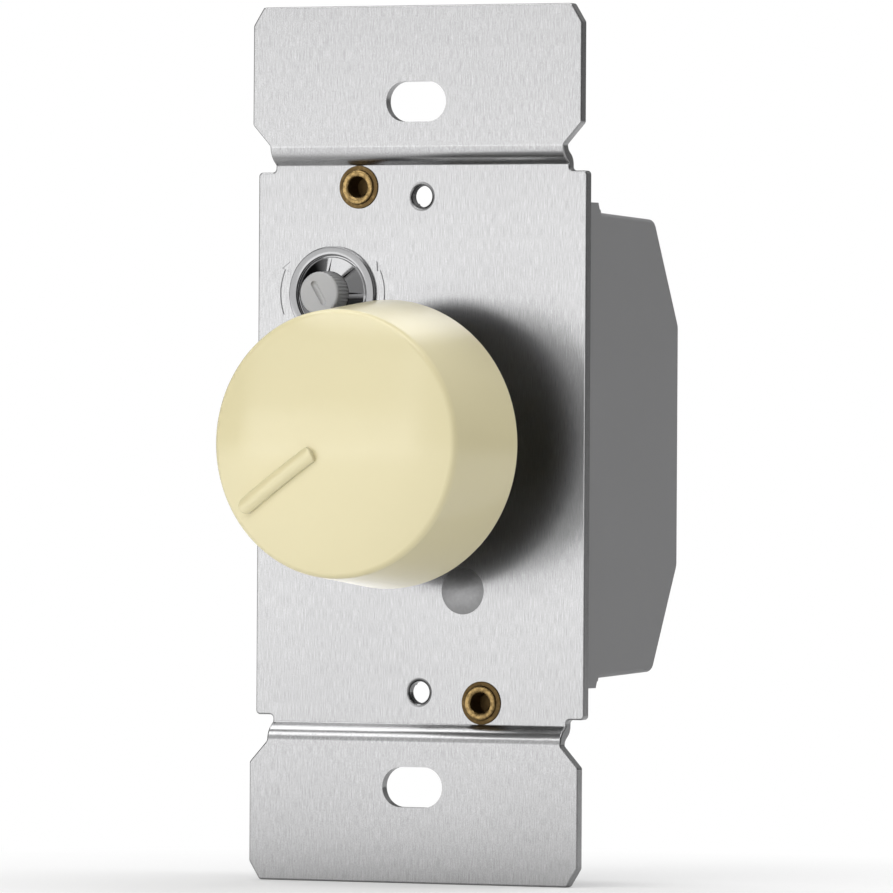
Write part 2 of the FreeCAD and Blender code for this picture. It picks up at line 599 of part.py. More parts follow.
def rear_housing():
    outer = housing_shell()
    posts = [centred_block(POST_SIDE, POST_SIDE + 2, BOARD_BACK, HOUSING_REAR, x, z + math.copysign(1, z))
             for x, z in STAKES]
    housing = outer.cut(housing_cavity()).fuse([post.common(outer) for post in posts])
    housing = housing.fuse([rivet_lug(side) for side in (-1, 1)])
    for x, z in STAKES:
        stake = disc(STAKE_RADIUS, BOARD_FRONT - STAKE_HEAD_HEIGHT, BOARD_BACK, x, z)
        head = disc(STAKE_HEAD_RADIUS, BOARD_FRONT - STAKE_HEAD_HEIGHT, BOARD_FRONT, x, z)
        housing = housing.fuse([stake, head])
    for side in (-1, 1):
        housing = housing.cut([
            disc(RIVET_SHANK_RADIUS + RIVET_HOLE_CLEARANCE, PLATE_BACK - 1, PLATE_BACK + LUG_THICKNESS + 1,
                 -side * RIVET_X, side * RIVET_Z),
            disc(RIVET_REAR_HEAD_RADIUS + INNER_CLEARANCE, PLATE_BACK + LUG_THICKNESS,
                 PLATE_BACK + HOUSING_FLANGE_DEPTH, -side * RIVET_X, side * RIVET_Z),
            disc(SCREW_NOTCH_RADIUS, PLATE_BACK - 1, PLATE_BACK + HOUSING_FLANGE_DEPTH, 0, side * SCREW_Z),
            disc(WIRE_PORT_RADIUS, CAVITY_REAR - 1, HOUSING_REAR + 1, side * WIRE_PORT_X, WIRE_PORT_Z),
        ])
    return housing.removeSplitter()


# Control bushing, washer and nut

def control_bushing():
    thread = disc(BUSHING_RADIUS, BUSHING_FRONT, CASE_FRONT)
    flange = disc(BUSHING_FLANGE_RADIUS, PLATE_BACK, CASE_FRONT)
    tab = centred_block(BUSHING_TAB_WIDTH, BUSHING_TAB_THICKNESS, PLATE_BACK - BUSHING_TAB_HEIGHT, CASE_FRONT,
                        0, -BUSHING_TAB_OFFSET)
    bore = disc(SHAFT_RADIUS + RUNNING_CLEARANCE, BUSHING_FRONT - 1, CASE_FRONT + 1)
    return thread.fuse([flange, tab]).cut(bore).removeSplitter()


def bushing_washer():
    return tube(WASHER_RADIUS, BUSHING_RADIUS + THREAD_CLEARANCE, -WASHER_THICKNESS, 0.0)


def bushing_nut():
    corner = NUT_ACROSS_FLATS / math.sqrt(3)
    hexagon = [(corner * math.cos(math.radians(60 * i)), corner * math.sin(math.radians(60 * i)))
               for i in range(6)]
    front = NUT_BACK - NUT_THICKNESS
    crown = turned([(0.0, front), (corner - NUT_CHAMFER * 2, front), (corner, front + NUT_CHAMFER),
                    (corner, NUT_BACK), (0.0, NUT_BACK)])
    nut = prism(hexagon, front, NUT_BACK).common(crown)
    return nut.cut(disc(BUSHING_RADIUS + THREAD_CLEARANCE, front - 1, NUT_BACK + 1))


# Rotary control

def control_case():
    cup = disc(CASE_RADIUS, CASE_FRONT, CASE_BACK).cut(disc(CASE_INNER_RADIUS, TRACK_FRONT, CASE_BACK))
    cup = cup.cut(disc(TRACK_INNER_RADIUS, CASE_FRONT, TRACK_FRONT))
    window = block(-TONGUE_HALF_WIDTH - SEAT_CLEARANCE, TONGUE_HALF_WIDTH + SEAT_CLEARANCE, TRACK_FRONT,
                   TRACK_BACK + SEAT_CLEARANCE, -CASE_RADIUS - 1, -CARRIER_RADIUS / 2)
    stop = sector(CASE_INNER_RADIUS - STOP_HEIGHT, CASE_RADIUS - CASE_WALL / 2, -90 - STOP_HALF_ANGLE,
                  -90 + STOP_HALF_ANGLE, CARRIER_FRONT, CARRIER_BACK)
    return cup.cut(window).fuse(stop).removeSplitter()


def control_back_cover():
    cover = disc(CASE_RADIUS, CASE_BACK, COVER_BACK)
    for side in (-1, 1):
        cover = cover.cut(leaf_tail(side, CASE_BACK - 1, COVER_BACK + 1, SEAT_CLEARANCE))
    return cover


def track_wafer():
    ring = tube(CASE_INNER_RADIUS - SEAT_CLEARANCE, TRACK_INNER_RADIUS, TRACK_FRONT, TRACK_BACK)
    tongue = block(-TONGUE_HALF_WIDTH, TONGUE_HALF_WIDTH, TRACK_FRONT, TRACK_BACK, -TONGUE_REACH,
                   -CARRIER_RADIUS)
    hub = disc(TRACK_INNER_RADIUS, TRACK_FRONT, TRACK_BACK)
    return ring.fuse(tongue.cut(hub)).removeSplitter()


def control_terminals():
    terminals = []
    for i in (-1, 0, 1):
        x = i * CONTROL_TERMINAL_PITCH
        foot = block(x - TERMINAL_WIDTH / 2, x + TERMINAL_WIDTH / 2, TRACK_BACK,
                     TRACK_BACK + TERMINAL_THICKNESS, -TONGUE_REACH, -CASE_RADIUS - INNER_CLEARANCE)
        leg = block(x - TERMINAL_WIDTH / 2, x + TERMINAL_WIDTH / 2, TRACK_BACK, BOARD_BACK + LEAD_STUB,
                    -TONGUE_REACH, -TONGUE_REACH + TERMINAL_THICKNESS)
        terminals.append(foot.fuse(leg).removeSplitter())
    return Part.makeCompound(terminals)


def leaf_tail(side, y0, y1, clearance):
    outer = side * LEAF_HALF_LENGTH
    inner = side * (LEAF_HALF_LENGTH - 2 * TERMINAL_THICKNESS)
    middle = (LEAF_LOW + LEAF_HIGH) / 2
    return block(min(outer, inner) - clearance, max(outer, inner) + clearance, y0, y1,
                 middle - TERMINAL_WIDTH / 2 - clearance, middle + TERMINAL_WIDTH / 2 + clearance)


def moving_contact():
    back = LEAF_FRONT + LEAF_THICKNESS
    leaf = block(-LEAF_HALF_LENGTH, LEAF_HALF_LENGTH, LEAF_FRONT, back, LEAF_LOW, LEAF_HIGH)
    button = disc(CONTACT_BUTTON_RADIUS, back, back + LEAF_THICKNESS,
                  LEAF_HALF_LENGTH - 2 * CONTACT_BUTTON_RADIUS, (LEAF_LOW + LEAF_HIGH) / 2)
    tail = leaf_tail(-1, back, BOARD_BACK + LEAD_STUB, 0.0)
    return leaf.fuse([button, tail]).removeSplitter()


def fixed_contact():
    foot = block(LEAF_HALF_LENGTH - 3 * CONTACT_BUTTON_RADIUS, LEAF_HALF_LENGTH, CASE_BACK - LEAF_THICKNESS,
                 CASE_BACK, LEAF_LOW, LEAF_HIGH)
    tail = leaf_tail(1, CASE_BACK - LEAF_THICKNESS, BOARD_BACK + LEAD_STUB, 0.0)
    return foot.fuse(tail).removeSplitter()


# Parts that turn with the knob

def control_shaft():
    back = CARRIER_BACK + CAM_HEIGHT
    rod = turned([(0.0, SHAFT_FRONT), (SHAFT_RADIUS - SHAFT_END_CHAMFER, SHAFT_FRONT),
                  (SHAFT_RADIUS, SHAFT_FRONT + SHAFT_END_CHAMFER), (SHAFT_RADIUS, back), (0.0, back)])
    collar = disc(SHAFT_COLLAR_RADIUS, CASE_FRONT + RUNNING_CLEARANCE, TRACK_FRONT)
    flat = block(SHAFT_FLAT, 2 * SHAFT_RADIUS, SHAFT_FRONT - 1, SHAFT_FRONT + SHAFT_FLAT_LENGTH,
                 -2 * SHAFT_RADIUS, 2 * SHAFT_RADIUS)
    return rod.fuse(collar).cut(spun(flat, POINTER_ANGLE)).removeSplitter()


def wiper_carrier():
    wheel = tube(CARRIER_RADIUS, SHAFT_RADIUS + SEAT_CLEARANCE, CARRIER_FRONT, CARRIER_BACK)
    first = -90 - STOP_HALF_ANGLE - 1
    lug = sector(CARRIER_RADIUS / 2, CASE_INNER_RADIUS - INNER_CLEARANCE, first - STOP_LUG_ANGLE, first,
                 CARRIER_FRONT, CARRIER_BACK)
    cam = sector(CAM_INNER_RADIUS, CAM_OUTER_RADIUS, 90 - CAM_HALF_ANGLE, 90 + CAM_HALF_ANGLE,
                 CARRIER_BACK, CARRIER_BACK + CAM_HEIGHT)
    return wheel.fuse([lug, cam]).removeSplitter()


def wiper():
    inner, outer = TRACK_CONTACT_RADII
    front = CARRIER_FRONT - WIPER_THICKNESS
    margin = WIPER_CONTACT_RADIUS + WIPER_THICKNESS / 2
    arm = sector(inner - margin, outer + margin, POINTER_ANGLE - WIPER_HALF_ANGLE,
                 POINTER_ANGLE + WIPER_HALF_ANGLE, front, CARRIER_FRONT)
    tips = [spun(disc(WIPER_CONTACT_RADIUS, TRACK_BACK + RUNNING_CLEARANCE, front, radius), POINTER_ANGLE)
            for radius in TRACK_CONTACT_RADII]
    return arm.fuse(tips).removeSplitter()


# Knob

def knob_form(inset):
    base = KNOB_BASE_RADIUS - inset
    edge = KNOB_EDGE_RADIUS - inset
    slope = (base - edge) / KNOB_HEIGHT
    height = KNOB_HEIGHT + KNOB_RISE
    cone = Part.makeCone(base, base - slope * height, height, vec(0, KNOB_BASE, 0), vec(0, -1, 0))
    return cone.common(knob_dome(-inset))


def knob_dome(growth):
    return Part.makeSphere(KNOB_DOME_RADIUS + growth, vec(0, KNOB_DOME_CENTRE, 0))


def knob_outer():
    form = knob_form(0.0)
    rim = [edge for edge in form.Edges if abs(edge.CenterOfMass.y - KNOB_EDGE) < 0.5 and edge.Closed]
    base = [edge for edge in form.Edges if abs(edge.CenterOfMass.y - KNOB_BASE) < 0.01 and edge.Closed]
    return form.makeFillet(KNOB_EDGE_ROUNDING, rim).makeFillet(KNOB_LIP_ROUNDING, base)


def pointer_rib():
    half = POINTER_WIDTH / 2
    inner = POINTER_INNER + POINTER_INNER_END_RADIUS
    outer = POINTER_OUTER - half
    y0, y1 = KNOB_EDGE - KNOB_RISE - 2 * POINTER_HEIGHT, KNOB_EDGE
    inner_end = disc(POINTER_INNER_END_RADIUS, y0, y1, inner, 0).common(
        block(POINTER_INNER, inner, y0, y1, -half, half))
    bar = block(inner, outer, y0, y1, -half, half)
    bar = bar.fuse([inner_end, disc(half, y0, y1, outer, 0)]).removeSplitter()
    crown = Part.makeTorus(KNOB_DOME_RADIUS + POINTER_HEIGHT - POINTER_CROWN_RADIUS, POINTER_CROWN_RADIUS,
                           vec(0, KNOB_DOME_CENTRE, 0), vec(0, 0, 1))
    bar = bar.common(crown)
    top = [edge for edge in bar.Edges
           if edge.CenterOfMass.y < KNOB_EDGE - POINTER_HEIGHT and abs(edge.CenterOfMass.z) > half / 4]
    bar = bar.makeFillet(POINTER_ROUNDING, top)
    return spun(bar, POINTER_ANGLE)


def shaft_socket():
    y0, y1 = SHAFT_FRONT - INNER_CLEARANCE, KNOB_BASE + 1
    bore = disc(SHAFT_RADIUS + RUNNING_CLEARANCE, y0, y1)
    land = SHAFT_FLAT + SPRING_THICKNESS + 2 * SEAT_CLEARANCE
    flat = block(land, 2 * SHAFT_RADIUS, y0, y1, -2 * SHAFT_RADIUS, 2 * SHAFT_RADIUS)
    return spun(bore.cut(flat), POINTER_ANGLE)


def knob():
    outer = knob_outer()
    y_hub = KNOB_BASE - HUB_RECESS
    hub = disc(HUB_RADIUS, KNOB_EDGE - KNOB_RISE, y_hub)
    shape = outer.cut(knob_form(KNOB_WALL)).fuse(hub.common(outer))
    return shape.fuse(pointer_rib()).cut(shaft_socket()).removeSplitter()


def knob_spring():
    inner = SHAFT_FLAT + SEAT_CLEARANCE
    y0 = SHAFT_FRONT + SHAFT_END_CHAMFER
    strip = block(inner, inner + SPRING_THICKNESS, y0, y0 + SPRING_LENGTH, -SPRING_WIDTH / 2,
                  SPRING_WIDTH / 2)
    return spun(strip, POINTER_ANGLE)


# Low speed trimmer

def adjuster_slot():
    reach = TRIM_SLOT_LENGTH / 2 - TRIM_SLOT_RADIUS
    y = TRIM_FRONT + TRIM_SLOT_DEPTH - TRIM_SLOT_RADIUS
    ends = [Part.makeSphere(TRIM_SLOT_RADIUS, vec(TRIM_X + side * reach, y, TRIM_Z)) for side in (-1, 1)]
    groove = Part.makeCylinder(TRIM_SLOT_RADIUS, 2 * reach, vec(TRIM_X - reach, y, TRIM_Z), vec(1, 0, 0))
    return spun(groove.fuse(ends), TRIM_SLOT_ANGLE, TRIM_X, TRIM_Z)


def trim_adjuster():
    rotor_front = TRIM_BASE_FRONT + RUNNING_CLEARANCE
    rotor_back = rotor_front + TRIM_ROTOR_THICKNESS
    head_back = PLATE_BACK + INNER_CLEARANCE
    outline = []
    for i in range(TRIM_TEETH * TRIM_TOOTH_STEPS):
        radius = TRIM_HEAD_RADIUS - TRIM_TOOTH_DEPTH * abs(math.sin(math.pi * i / TRIM_TOOTH_STEPS))
        turn = math.tau * i / (TRIM_TEETH * TRIM_TOOTH_STEPS)
        outline.append((TRIM_X + radius * math.cos(turn), TRIM_Z + radius * math.sin(turn)))
    head = prism(outline, TRIM_FRONT, head_back)
    form = Part.makeCone(TRIM_HEAD_RADIUS - TRIM_HEAD_DRAFT, TRIM_HEAD_RADIUS + TRIM_HEAD_DRAFT,
                         head_back - TRIM_FRONT, vec(TRIM_X, TRIM_FRONT, TRIM_Z), vec(0, 1, 0))
    front_edge = [edge for edge in form.Edges if abs(edge.CenterOfMass.y - TRIM_FRONT) < 0.01]
    form = form.makeFillet(TRIM_HEAD_ROUNDING, front_edge)
    stem = disc(TRIM_STEM_RADIUS, head_back, rotor_back, TRIM_X, TRIM_Z)
    rotor = disc(TRIM_ROTOR_RADIUS, rotor_front, rotor_back, TRIM_X, TRIM_Z)
    shape = head.common(form).fuse([stem, rotor])
    return shape.cut(adjuster_slot()).removeSplitter()


def trim_ring():
    back = -RUNNING_CLEARANCE
    front = back - RING_HEIGHT
    grip = TRIM_HEAD_RADIUS + SEAT_CLEARANCE
    petal = back - RING_PETAL_HEIGHT
    profile = [
        (RING_RADIUS, back),
        (RING_RADIUS, front + 0.15),
        (RING_RADIUS - 0.15, front),
        (RING_LIP_RADIUS + 0.2, front),
        (RING_LIP_RADIUS + 0.05, front + 0.04),
        (RING_LIP_RADIUS, front + 0.14),
        (RING_VALLEY_RADIUS + 0.15, back - RING_SHEET - 0.03),
        (RING_VALLEY_RADIUS, back - RING_SHEET - 0.02),
        (RING_VALLEY_RADIUS - 0.2, back - RING_SHEET - 0.08),
        (grip, petal),
        (grip, petal + RING_SHEET),
        (RING_VALLEY_RADIUS - 0.1, back),
        (RING_LIP_RADIUS + RING_SHEET, back),
        (RING_LIP_RADIUS + RING_SHEET, front + RING_SHEET),
        (RING_RADIUS - RING_SHEET, front + RING_SHEET),
        (RING_RADIUS - RING_SHEET, back),
    ]
    ring = turned(profile, TRIM_X, TRIM_Z)
    slit = prism([(TRIM_X, TRIM_Z - RING_SLIT_WIDTH), (TRIM_X + RING_VALLEY_RADIUS, TRIM_Z),
                  (TRIM_X, TRIM_Z + RING_SLIT_WIDTH)], petal - 1, 0.0)
    return ring.cut([spun(slit, i * 360 / RING_SLITS, TRIM_X, TRIM_Z) for i in range(RING_SLITS)])


def trim_wiper():
    front = TRIM_BASE_FRONT + RUNNING_CLEARANCE + TRIM_ROTOR_THICKNESS
    floor = BOARD_FRONT - TRIM_BASE_FLOOR
    plate = disc(TRIM_STEM_RADIUS, front, front + WIPER_THICKNESS, TRIM_X, TRIM_Z)
    offset = TRIM_STEM_RADIUS - 2 * WIPER_CONTACT_RADIUS
    tip = disc(WIPER_CONTACT_RADIUS, front, floor - RUNNING_CLEARANCE, TRIM_X, TRIM_Z + offset)
    return plate.fuse(tip).removeSplitter()


def trim_square(y0, y1):
    square = centred_block(TRIM_BASE_SIDE, TRIM_BASE_SIDE, y0, y1, TRIM_X, TRIM_Z)
    return square.makeFillet(TRIM_CORNER_RADIUS, edges_along(square, vec(0, 1, 0)))


def trim_base():
    chamber = disc(TRIM_ROTOR_RADIUS + INNER_CLEARANCE, TRIM_BASE_FRONT, BOARD_FRONT - TRIM_BASE_FLOOR,
                   TRIM_X, TRIM_Z)
    return trim_square(TRIM_BASE_FRONT, BOARD_FRONT).cut(chamber)


def trim_cover():
    hole = disc(TRIM_STEM_RADIUS + RUNNING_CLEARANCE, TRIM_COVER_FRONT, TRIM_BASE_FRONT, TRIM_X, TRIM_Z)
    return trim_square(TRIM_COVER_FRONT, TRIM_BASE_FRONT).cut(hole)


def trim_pin_places():
    return [(TRIM_X + dx, TRIM_Z + dz) for dx, dz in TRIM_PINS]


def trim_terminals():
    return pins(trim_pin_places(), BOARD_FRONT, BOARD_BACK + LEAD_STUB)


# Power switch element

def insulating_pad():
    pad = block(TAB_LEFT - PAD_MARGIN, TAB_RIGHT + PAD_MARGIN, PLATE_BACK, TAB_FRONT,
                TRIAC_Z - TAB_WIDTH / 2 - PAD_MARGIN, TRIAC_Z + TAB_WIDTH / 2 + PAD_MARGIN)
    return pad.cut(disc(TRIAC_RIVET_SHANK_RADIUS + RIVET_HOLE_CLEARANCE, 0, TAB_FRONT + 1, TRIAC_X, TRIAC_Z))


def triac_tab():
    tab = block(TAB_LEFT, TAB_RIGHT, TAB_FRONT, TAB_BACK, TRIAC_Z - TAB_WIDTH / 2, TRIAC_Z + TAB_WIDTH / 2)
    return tab.cut(disc(TRIAC_RIVET_SHANK_RADIUS + RIVET_HOLE_CLEARANCE, 0, TAB_BACK + 1, TRIAC_X, TRIAC_Z))


def triac_case():
    case = block(TAB_LEFT, TAB_LEFT + TRIAC_CASE_LENGTH, TAB_BACK, TAB_BACK + TRIAC_CASE_DEPTH,
                 TRIAC_Z - TAB_WIDTH / 2, TRIAC_Z + TAB_WIDTH / 2)
    top = [edge for edge in case.Edges if edge.CenterOfMass.y > TAB_BACK + TRIAC_CASE_DEPTH - 0.01]
    return case.makeChamfer(TRIAC_CASE_CHAMFER, top)


def triac_lead_places():
    return [(TRIAC_LEAD_X, TRIAC_Z + i * TRIAC_LEAD_PITCH) for i in (-1, 0, 1)]


def triac_leads():
    leads = []
    y0 = TAB_BACK + TRIAC_CASE_DEPTH / 2
    half = TRIAC_LEAD_THICKNESS / 2
    for x, z in triac_lead_places():
        low, high = z - TRIAC_LEAD_WIDTH / 2, z + TRIAC_LEAD_WIDTH / 2
        run = block(x - half, TAB_LEFT, y0 - half, y0 + half, low, high)
        drop = block(x - half, x + half, y0 - half, BOARD_BACK + LEAD_STUB, low, high)
        leads.append(run.fuse(drop).removeSplitter())
    return Part.makeCompound(leads)


# Circuit board and the parts on it

def pins(places, y0, y1):
    return Part.makeCompound([disc(LEAD_RADIUS, y0, y1, x, z) for x, z in places])


def rear_pins(places):
    return pins(places, BOARD_FRONT - LEAD_STUB, BOARD_BACK)


def pair(centre, pitch):
    return [(centre[0] + side * pitch / 2, centre[1]) for side in (-1, 1)]


def choke_lead_places():
    return pair((CHOKE_X, CHOKE_Z), 2 * (CHOKE_FLANGE_RADIUS - CHOKE_LEAD_STEP))


def control_leg_places():
    return [(i * CONTROL_TERMINAL_PITCH, -TONGUE_REACH + TERMINAL_THICKNESS / 2) for i in (-1, 0, 1)]


def leaf_tail_places():
    reach = LEAF_HALF_LENGTH - TERMINAL_THICKNESS
    return [(side * reach, (LEAF_LOW + LEAF_HIGH) / 2) for side in (-1, 1)]


def clamp_places():
    return [(side * WIRE_PORT_X, WIRE_PORT_Z) for side in (-1, 1)]


def circuit_board():
    board = centred_block(2 * BOARD_HALF_WIDTH, 2 * BOARD_HALF_HEIGHT, BOARD_FRONT, BOARD_BACK)
    round_leads = (choke_lead_places() + pair(FILTER_CAP_CENTRE, FILTER_CAP_PITCH)
                   + pair(TIMING_CAP_CENTRE, TIMING_CAP_PITCH) + pair((DIAC_X, DIAC_Z), DIAC_PITCH)
                   + trim_pin_places())
    for z in RESISTOR_ROWS:
        round_leads += pair((RESISTOR_X, z), RESISTOR_PITCH)
    holes = [disc(LEAD_RADIUS + LEAD_HOLE_CLEARANCE, BOARD_FRONT, BOARD_BACK, x, z) for x, z in round_leads]
    gap = 2 * LEAD_HOLE_CLEARANCE
    flat_leads = [(triac_lead_places(), TRIAC_LEAD_THICKNESS, TRIAC_LEAD_WIDTH),
                  (control_leg_places(), TERMINAL_WIDTH, TERMINAL_THICKNESS),
                  (leaf_tail_places(), 2 * TERMINAL_THICKNESS, TERMINAL_WIDTH),
                  (clamp_places(), CLAMP_TAIL_WIDTH, CLAMP_WALL)]
    for places, width, height in flat_leads:
        holes += [centred_block(width + gap, height + gap, BOARD_FRONT, BOARD_BACK, x, z) for x, z in places]
    holes += [disc(STAKE_RADIUS + LEAD_HOLE_CLEARANCE, BOARD_FRONT, BOARD_BACK, x, z) for x, z in STAKES]
    return board.cut(holes)


def choke_core():
    back = BOARD_BACK + CHOKE_HEIGHT
    flanges = [disc(CHOKE_FLANGE_RADIUS, y, y + CHOKE_FLANGE_THICKNESS, CHOKE_X, CHOKE_Z)
               for y in (BOARD_BACK, back - CHOKE_FLANGE_THICKNESS)]
    return disc(CHOKE_POST_RADIUS, BOARD_BACK, back, CHOKE_X, CHOKE_Z).fuse(flanges).removeSplitter()


def choke_winding():
    front = BOARD_BACK + CHOKE_FLANGE_THICKNESS
    pitch = (CHOKE_HEIGHT - 2 * CHOKE_FLANGE_THICKNESS) / CHOKE_TURNS
    profile = [(CHOKE_POST_RADIUS + SEAT_CLEARANCE, front)]
    for i in range(CHOKE_TURNS):
        for part, drop in ((0.0, 0.5), (0.25, 0.13), (0.5, 0.0), (0.75, 0.13)):
            profile.append((CHOKE_WINDING_RADIUS - drop * pitch, front + (i + part) * pitch))
    end = front + CHOKE_TURNS * pitch
    profile += [(CHOKE_WINDING_RADIUS - pitch / 2, end), (CHOKE_POST_RADIUS + SEAT_CLEARANCE, end)]
    return turned(profile, CHOKE_X, CHOKE_Z)


def box_capacitor(centre, size):
    width, depth, height = size
    box = centred_block(width, height, BOARD_BACK, BOARD_BACK + depth, centre[0], centre[1])
    soft = [edge for edge in box.Edges if edge.CenterOfMass.y > BOARD_BACK + 0.01]
    return box.makeFillet(CAP_EDGE_RADIUS, soft)


def axial_body(x, y, z, radius, length):
    body = Part.makeCylinder(radius, length, vec(x - length / 2, y, z), vec(1, 0, 0))
    ends = [edge for edge in body.Edges if edge.Closed]
    return body.makeFillet(radius / 3, ends)


def axial_leads(x, y, z, length, pitch, y_end):
    return [wire([vec(x + side * length / 2, y, z), vec(x + side * pitch / 2, y, z),
                  vec(x + side * pitch / 2, y_end, z)], LEAD_RADIUS) for side in (-1, 1)]


def resistors():
    y = BOARD_BACK + STAND_OFF + RESISTOR_RADIUS
    return Part.makeCompound([axial_body(RESISTOR_X, y, z, RESISTOR_RADIUS, RESISTOR_LENGTH)
                              for z in RESISTOR_ROWS])


def resistor_leads():
    y = BOARD_BACK + STAND_OFF + RESISTOR_RADIUS
    leads = []
    for z in RESISTOR_ROWS:
        leads += axial_leads(RESISTOR_X, y, z, RESISTOR_LENGTH, RESISTOR_PITCH, BOARD_FRONT - LEAD_STUB)
    return Part.makeCompound(leads)


def diac():
    return axial_body(DIAC_X, BOARD_FRONT - STAND_OFF - DIAC_RADIUS, DIAC_Z, DIAC_RADIUS, DIAC_LENGTH)


def diac_leads():
    y = BOARD_FRONT - STAND_OFF - DIAC_RADIUS
    return Part.makeCompound(axial_leads(DIAC_X, y, DIAC_Z, DIAC_LENGTH, DIAC_PITCH, BOARD_BACK + LEAD_STUB))


def wire_clamps():
    clamps = []
    front = CAVITY_REAR - CLAMP_DEPTH
    for x, z in clamp_places():
        cage = centred_block(CLAMP_SIDE, CLAMP_SIDE, front, CAVITY_REAR, x, z)
        inner = CLAMP_SIDE - 2 * CLAMP_WALL
        cage = cage.cut(centred_block(inner, inner, front + CLAMP_WALL, CAVITY_REAR, x, z))
        tail = centred_block(CLAMP_TAIL_WIDTH, CLAMP_WALL, BOARD_FRONT - LEAD_STUB, front, x, z)
        clamps.append(cage.fuse(tail).removeSplitter())
    return Part.makeCompound(clamps)


NODES = {
    "mounting_plate": mounting_plate,
    "rear_housing": rear_housing,
    "housing_rivets": housing_rivets,
    "triac_rivet": triac_rivet,
    "insulating_pad": insulating_pad,
    "triac_tab": triac_tab,
    "triac_case": triac_case,
    "triac_leads": triac_leads,
    "control_bushing": control_bushing,
    "bushing_washer": bushing_washer,
    "bushing_nut": bushing_nut,
    "control_case": control_case,
    "control_back_cover": control_back_cover,
    "track_wafer": track_wafer,
    "control_terminals": control_terminals,
    "moving_contact": moving_contact,
    "fixed_contact": fixed_contact,
    "control_shaft": control_shaft,
    "wiper_carrier": wiper_carrier,
    "wiper": wiper,
    "knob": knob,
    "knob_spring": knob_spring,
    "trim_adjuster": trim_adjuster,
    "trim_ring": trim_ring,
    "trim_wiper": trim_wiper,
    "trim_base": trim_base,
    "trim_cover": trim_cover,
    "trim_terminals": trim_terminals,
    "circuit_board": circuit_board,
    "choke_core": choke_core,
    "choke_winding": choke_winding,
    "choke_leads": lambda: rear_pins(choke_lead_places()),
    "filter_capacitor": lambda: box_capacitor(FILTER_CAP_CENTRE, FILTER_CAP_SIZE),
    "filter_capacitor_leads": lambda: rear_pins(pair(FILTER_CAP_CENTRE, FILTER_CAP_PITCH)),
    "timing_capacitor": lambda: box_capacitor(TIMING_CAP_CENTRE, TIMING_CAP_SIZE),
    "timing_capacitor_leads": lambda: rear_pins(pair(TIMING_CAP_CENTRE, TIMING_CAP_PITCH)),
    "resistors": resistors,
    "resistor_leads": resistor_leads,
    "diac": diac,
    "diac_leads": diac_leads,
    "wire_clamps": wire_clamps,
}


def main():
    os.makedirs("parts", exist_ok=True)
    for name, build in NODES.items():
        shape = build()
        assert shape.isValid(), name
        shape.exportStep(f"parts/{name}.step")


main()
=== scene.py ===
import bpy
import bmesh
import math
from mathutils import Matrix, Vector


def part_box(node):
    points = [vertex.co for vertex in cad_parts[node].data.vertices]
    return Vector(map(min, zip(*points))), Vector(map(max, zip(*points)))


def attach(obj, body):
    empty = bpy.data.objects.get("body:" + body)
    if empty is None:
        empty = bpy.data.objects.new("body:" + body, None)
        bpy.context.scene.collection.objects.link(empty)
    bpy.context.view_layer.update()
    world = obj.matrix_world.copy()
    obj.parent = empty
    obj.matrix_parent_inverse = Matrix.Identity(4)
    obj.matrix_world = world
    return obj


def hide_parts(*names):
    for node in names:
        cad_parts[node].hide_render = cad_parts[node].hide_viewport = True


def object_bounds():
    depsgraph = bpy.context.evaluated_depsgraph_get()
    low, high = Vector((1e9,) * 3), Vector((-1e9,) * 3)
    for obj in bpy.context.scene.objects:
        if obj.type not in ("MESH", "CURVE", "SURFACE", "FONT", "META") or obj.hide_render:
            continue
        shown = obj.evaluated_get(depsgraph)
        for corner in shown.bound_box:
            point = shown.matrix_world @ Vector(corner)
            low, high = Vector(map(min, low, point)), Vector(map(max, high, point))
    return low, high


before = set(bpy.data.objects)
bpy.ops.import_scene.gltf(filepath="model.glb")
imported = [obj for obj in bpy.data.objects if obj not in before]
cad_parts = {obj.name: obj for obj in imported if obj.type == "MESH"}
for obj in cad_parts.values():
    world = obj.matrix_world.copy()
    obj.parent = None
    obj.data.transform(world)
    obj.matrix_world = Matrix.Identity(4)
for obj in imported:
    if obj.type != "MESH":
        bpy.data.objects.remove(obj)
cad_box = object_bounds()


# Mounting yoke: the plate and its two ears, pressed from one aluminium sheet. The mill finish
# runs from ear to ear as fine straight lines, with small flecks where the rolls picked up.
MM = 0.001
SHEET_COLOUR = (0.27, 0.27, 0.272)
SHEET_LINES = (11500.0, 11500.0, 600.0)
SHEET_FLECKS = 6500.0
SHEET_CONTRAST = 0.26
SHEET_ROUGHNESS = (0.21, 0.24)
SHEET_PAINTED_MIRROR_LIGHT = (0.55, 0.55, 0.555)
SHEET_FLECK_SHARE = 0.3
SHEET_GRAIN_DEPTH = 0.0022 * MM
SCREW_HOLE_HEIGHT = 30.165 * MM
SCREW_HOLE_REACH = 1.8 * MM
SCREW_PITCH = 0.4 * MM
SCREW_ROOT_SHADE = 0.25


def put(tree, kind, sockets=None, **settings):
    """A new node of that kind, with its settings made and its sockets filled or joined."""
    node = tree.nodes.new(kind)
    for name, value in settings.items():
        setattr(node, name, value)
    for name, value in (sockets or {}).items():
        if isinstance(value, bpy.types.NodeSocket):
            tree.links.new(value, node.inputs[name])
        else:
            node.inputs[name].default_value = value
    return node


def new_group(name, kind, inputs, outputs):
    """A node group with those named sockets, its input node's outputs and its output node's inputs."""
    group = bpy.data.node_groups.new(name, kind)
    for label, form in inputs.items():
        group.interface.new_socket(label, in_out="INPUT", socket_type=form)
    for label, form in outputs.items():
        group.interface.new_socket(label, in_out="OUTPUT", socket_type=form)
    return group, group.nodes.new("NodeGroupInput").outputs, group.nodes.new("NodeGroupOutput").inputs


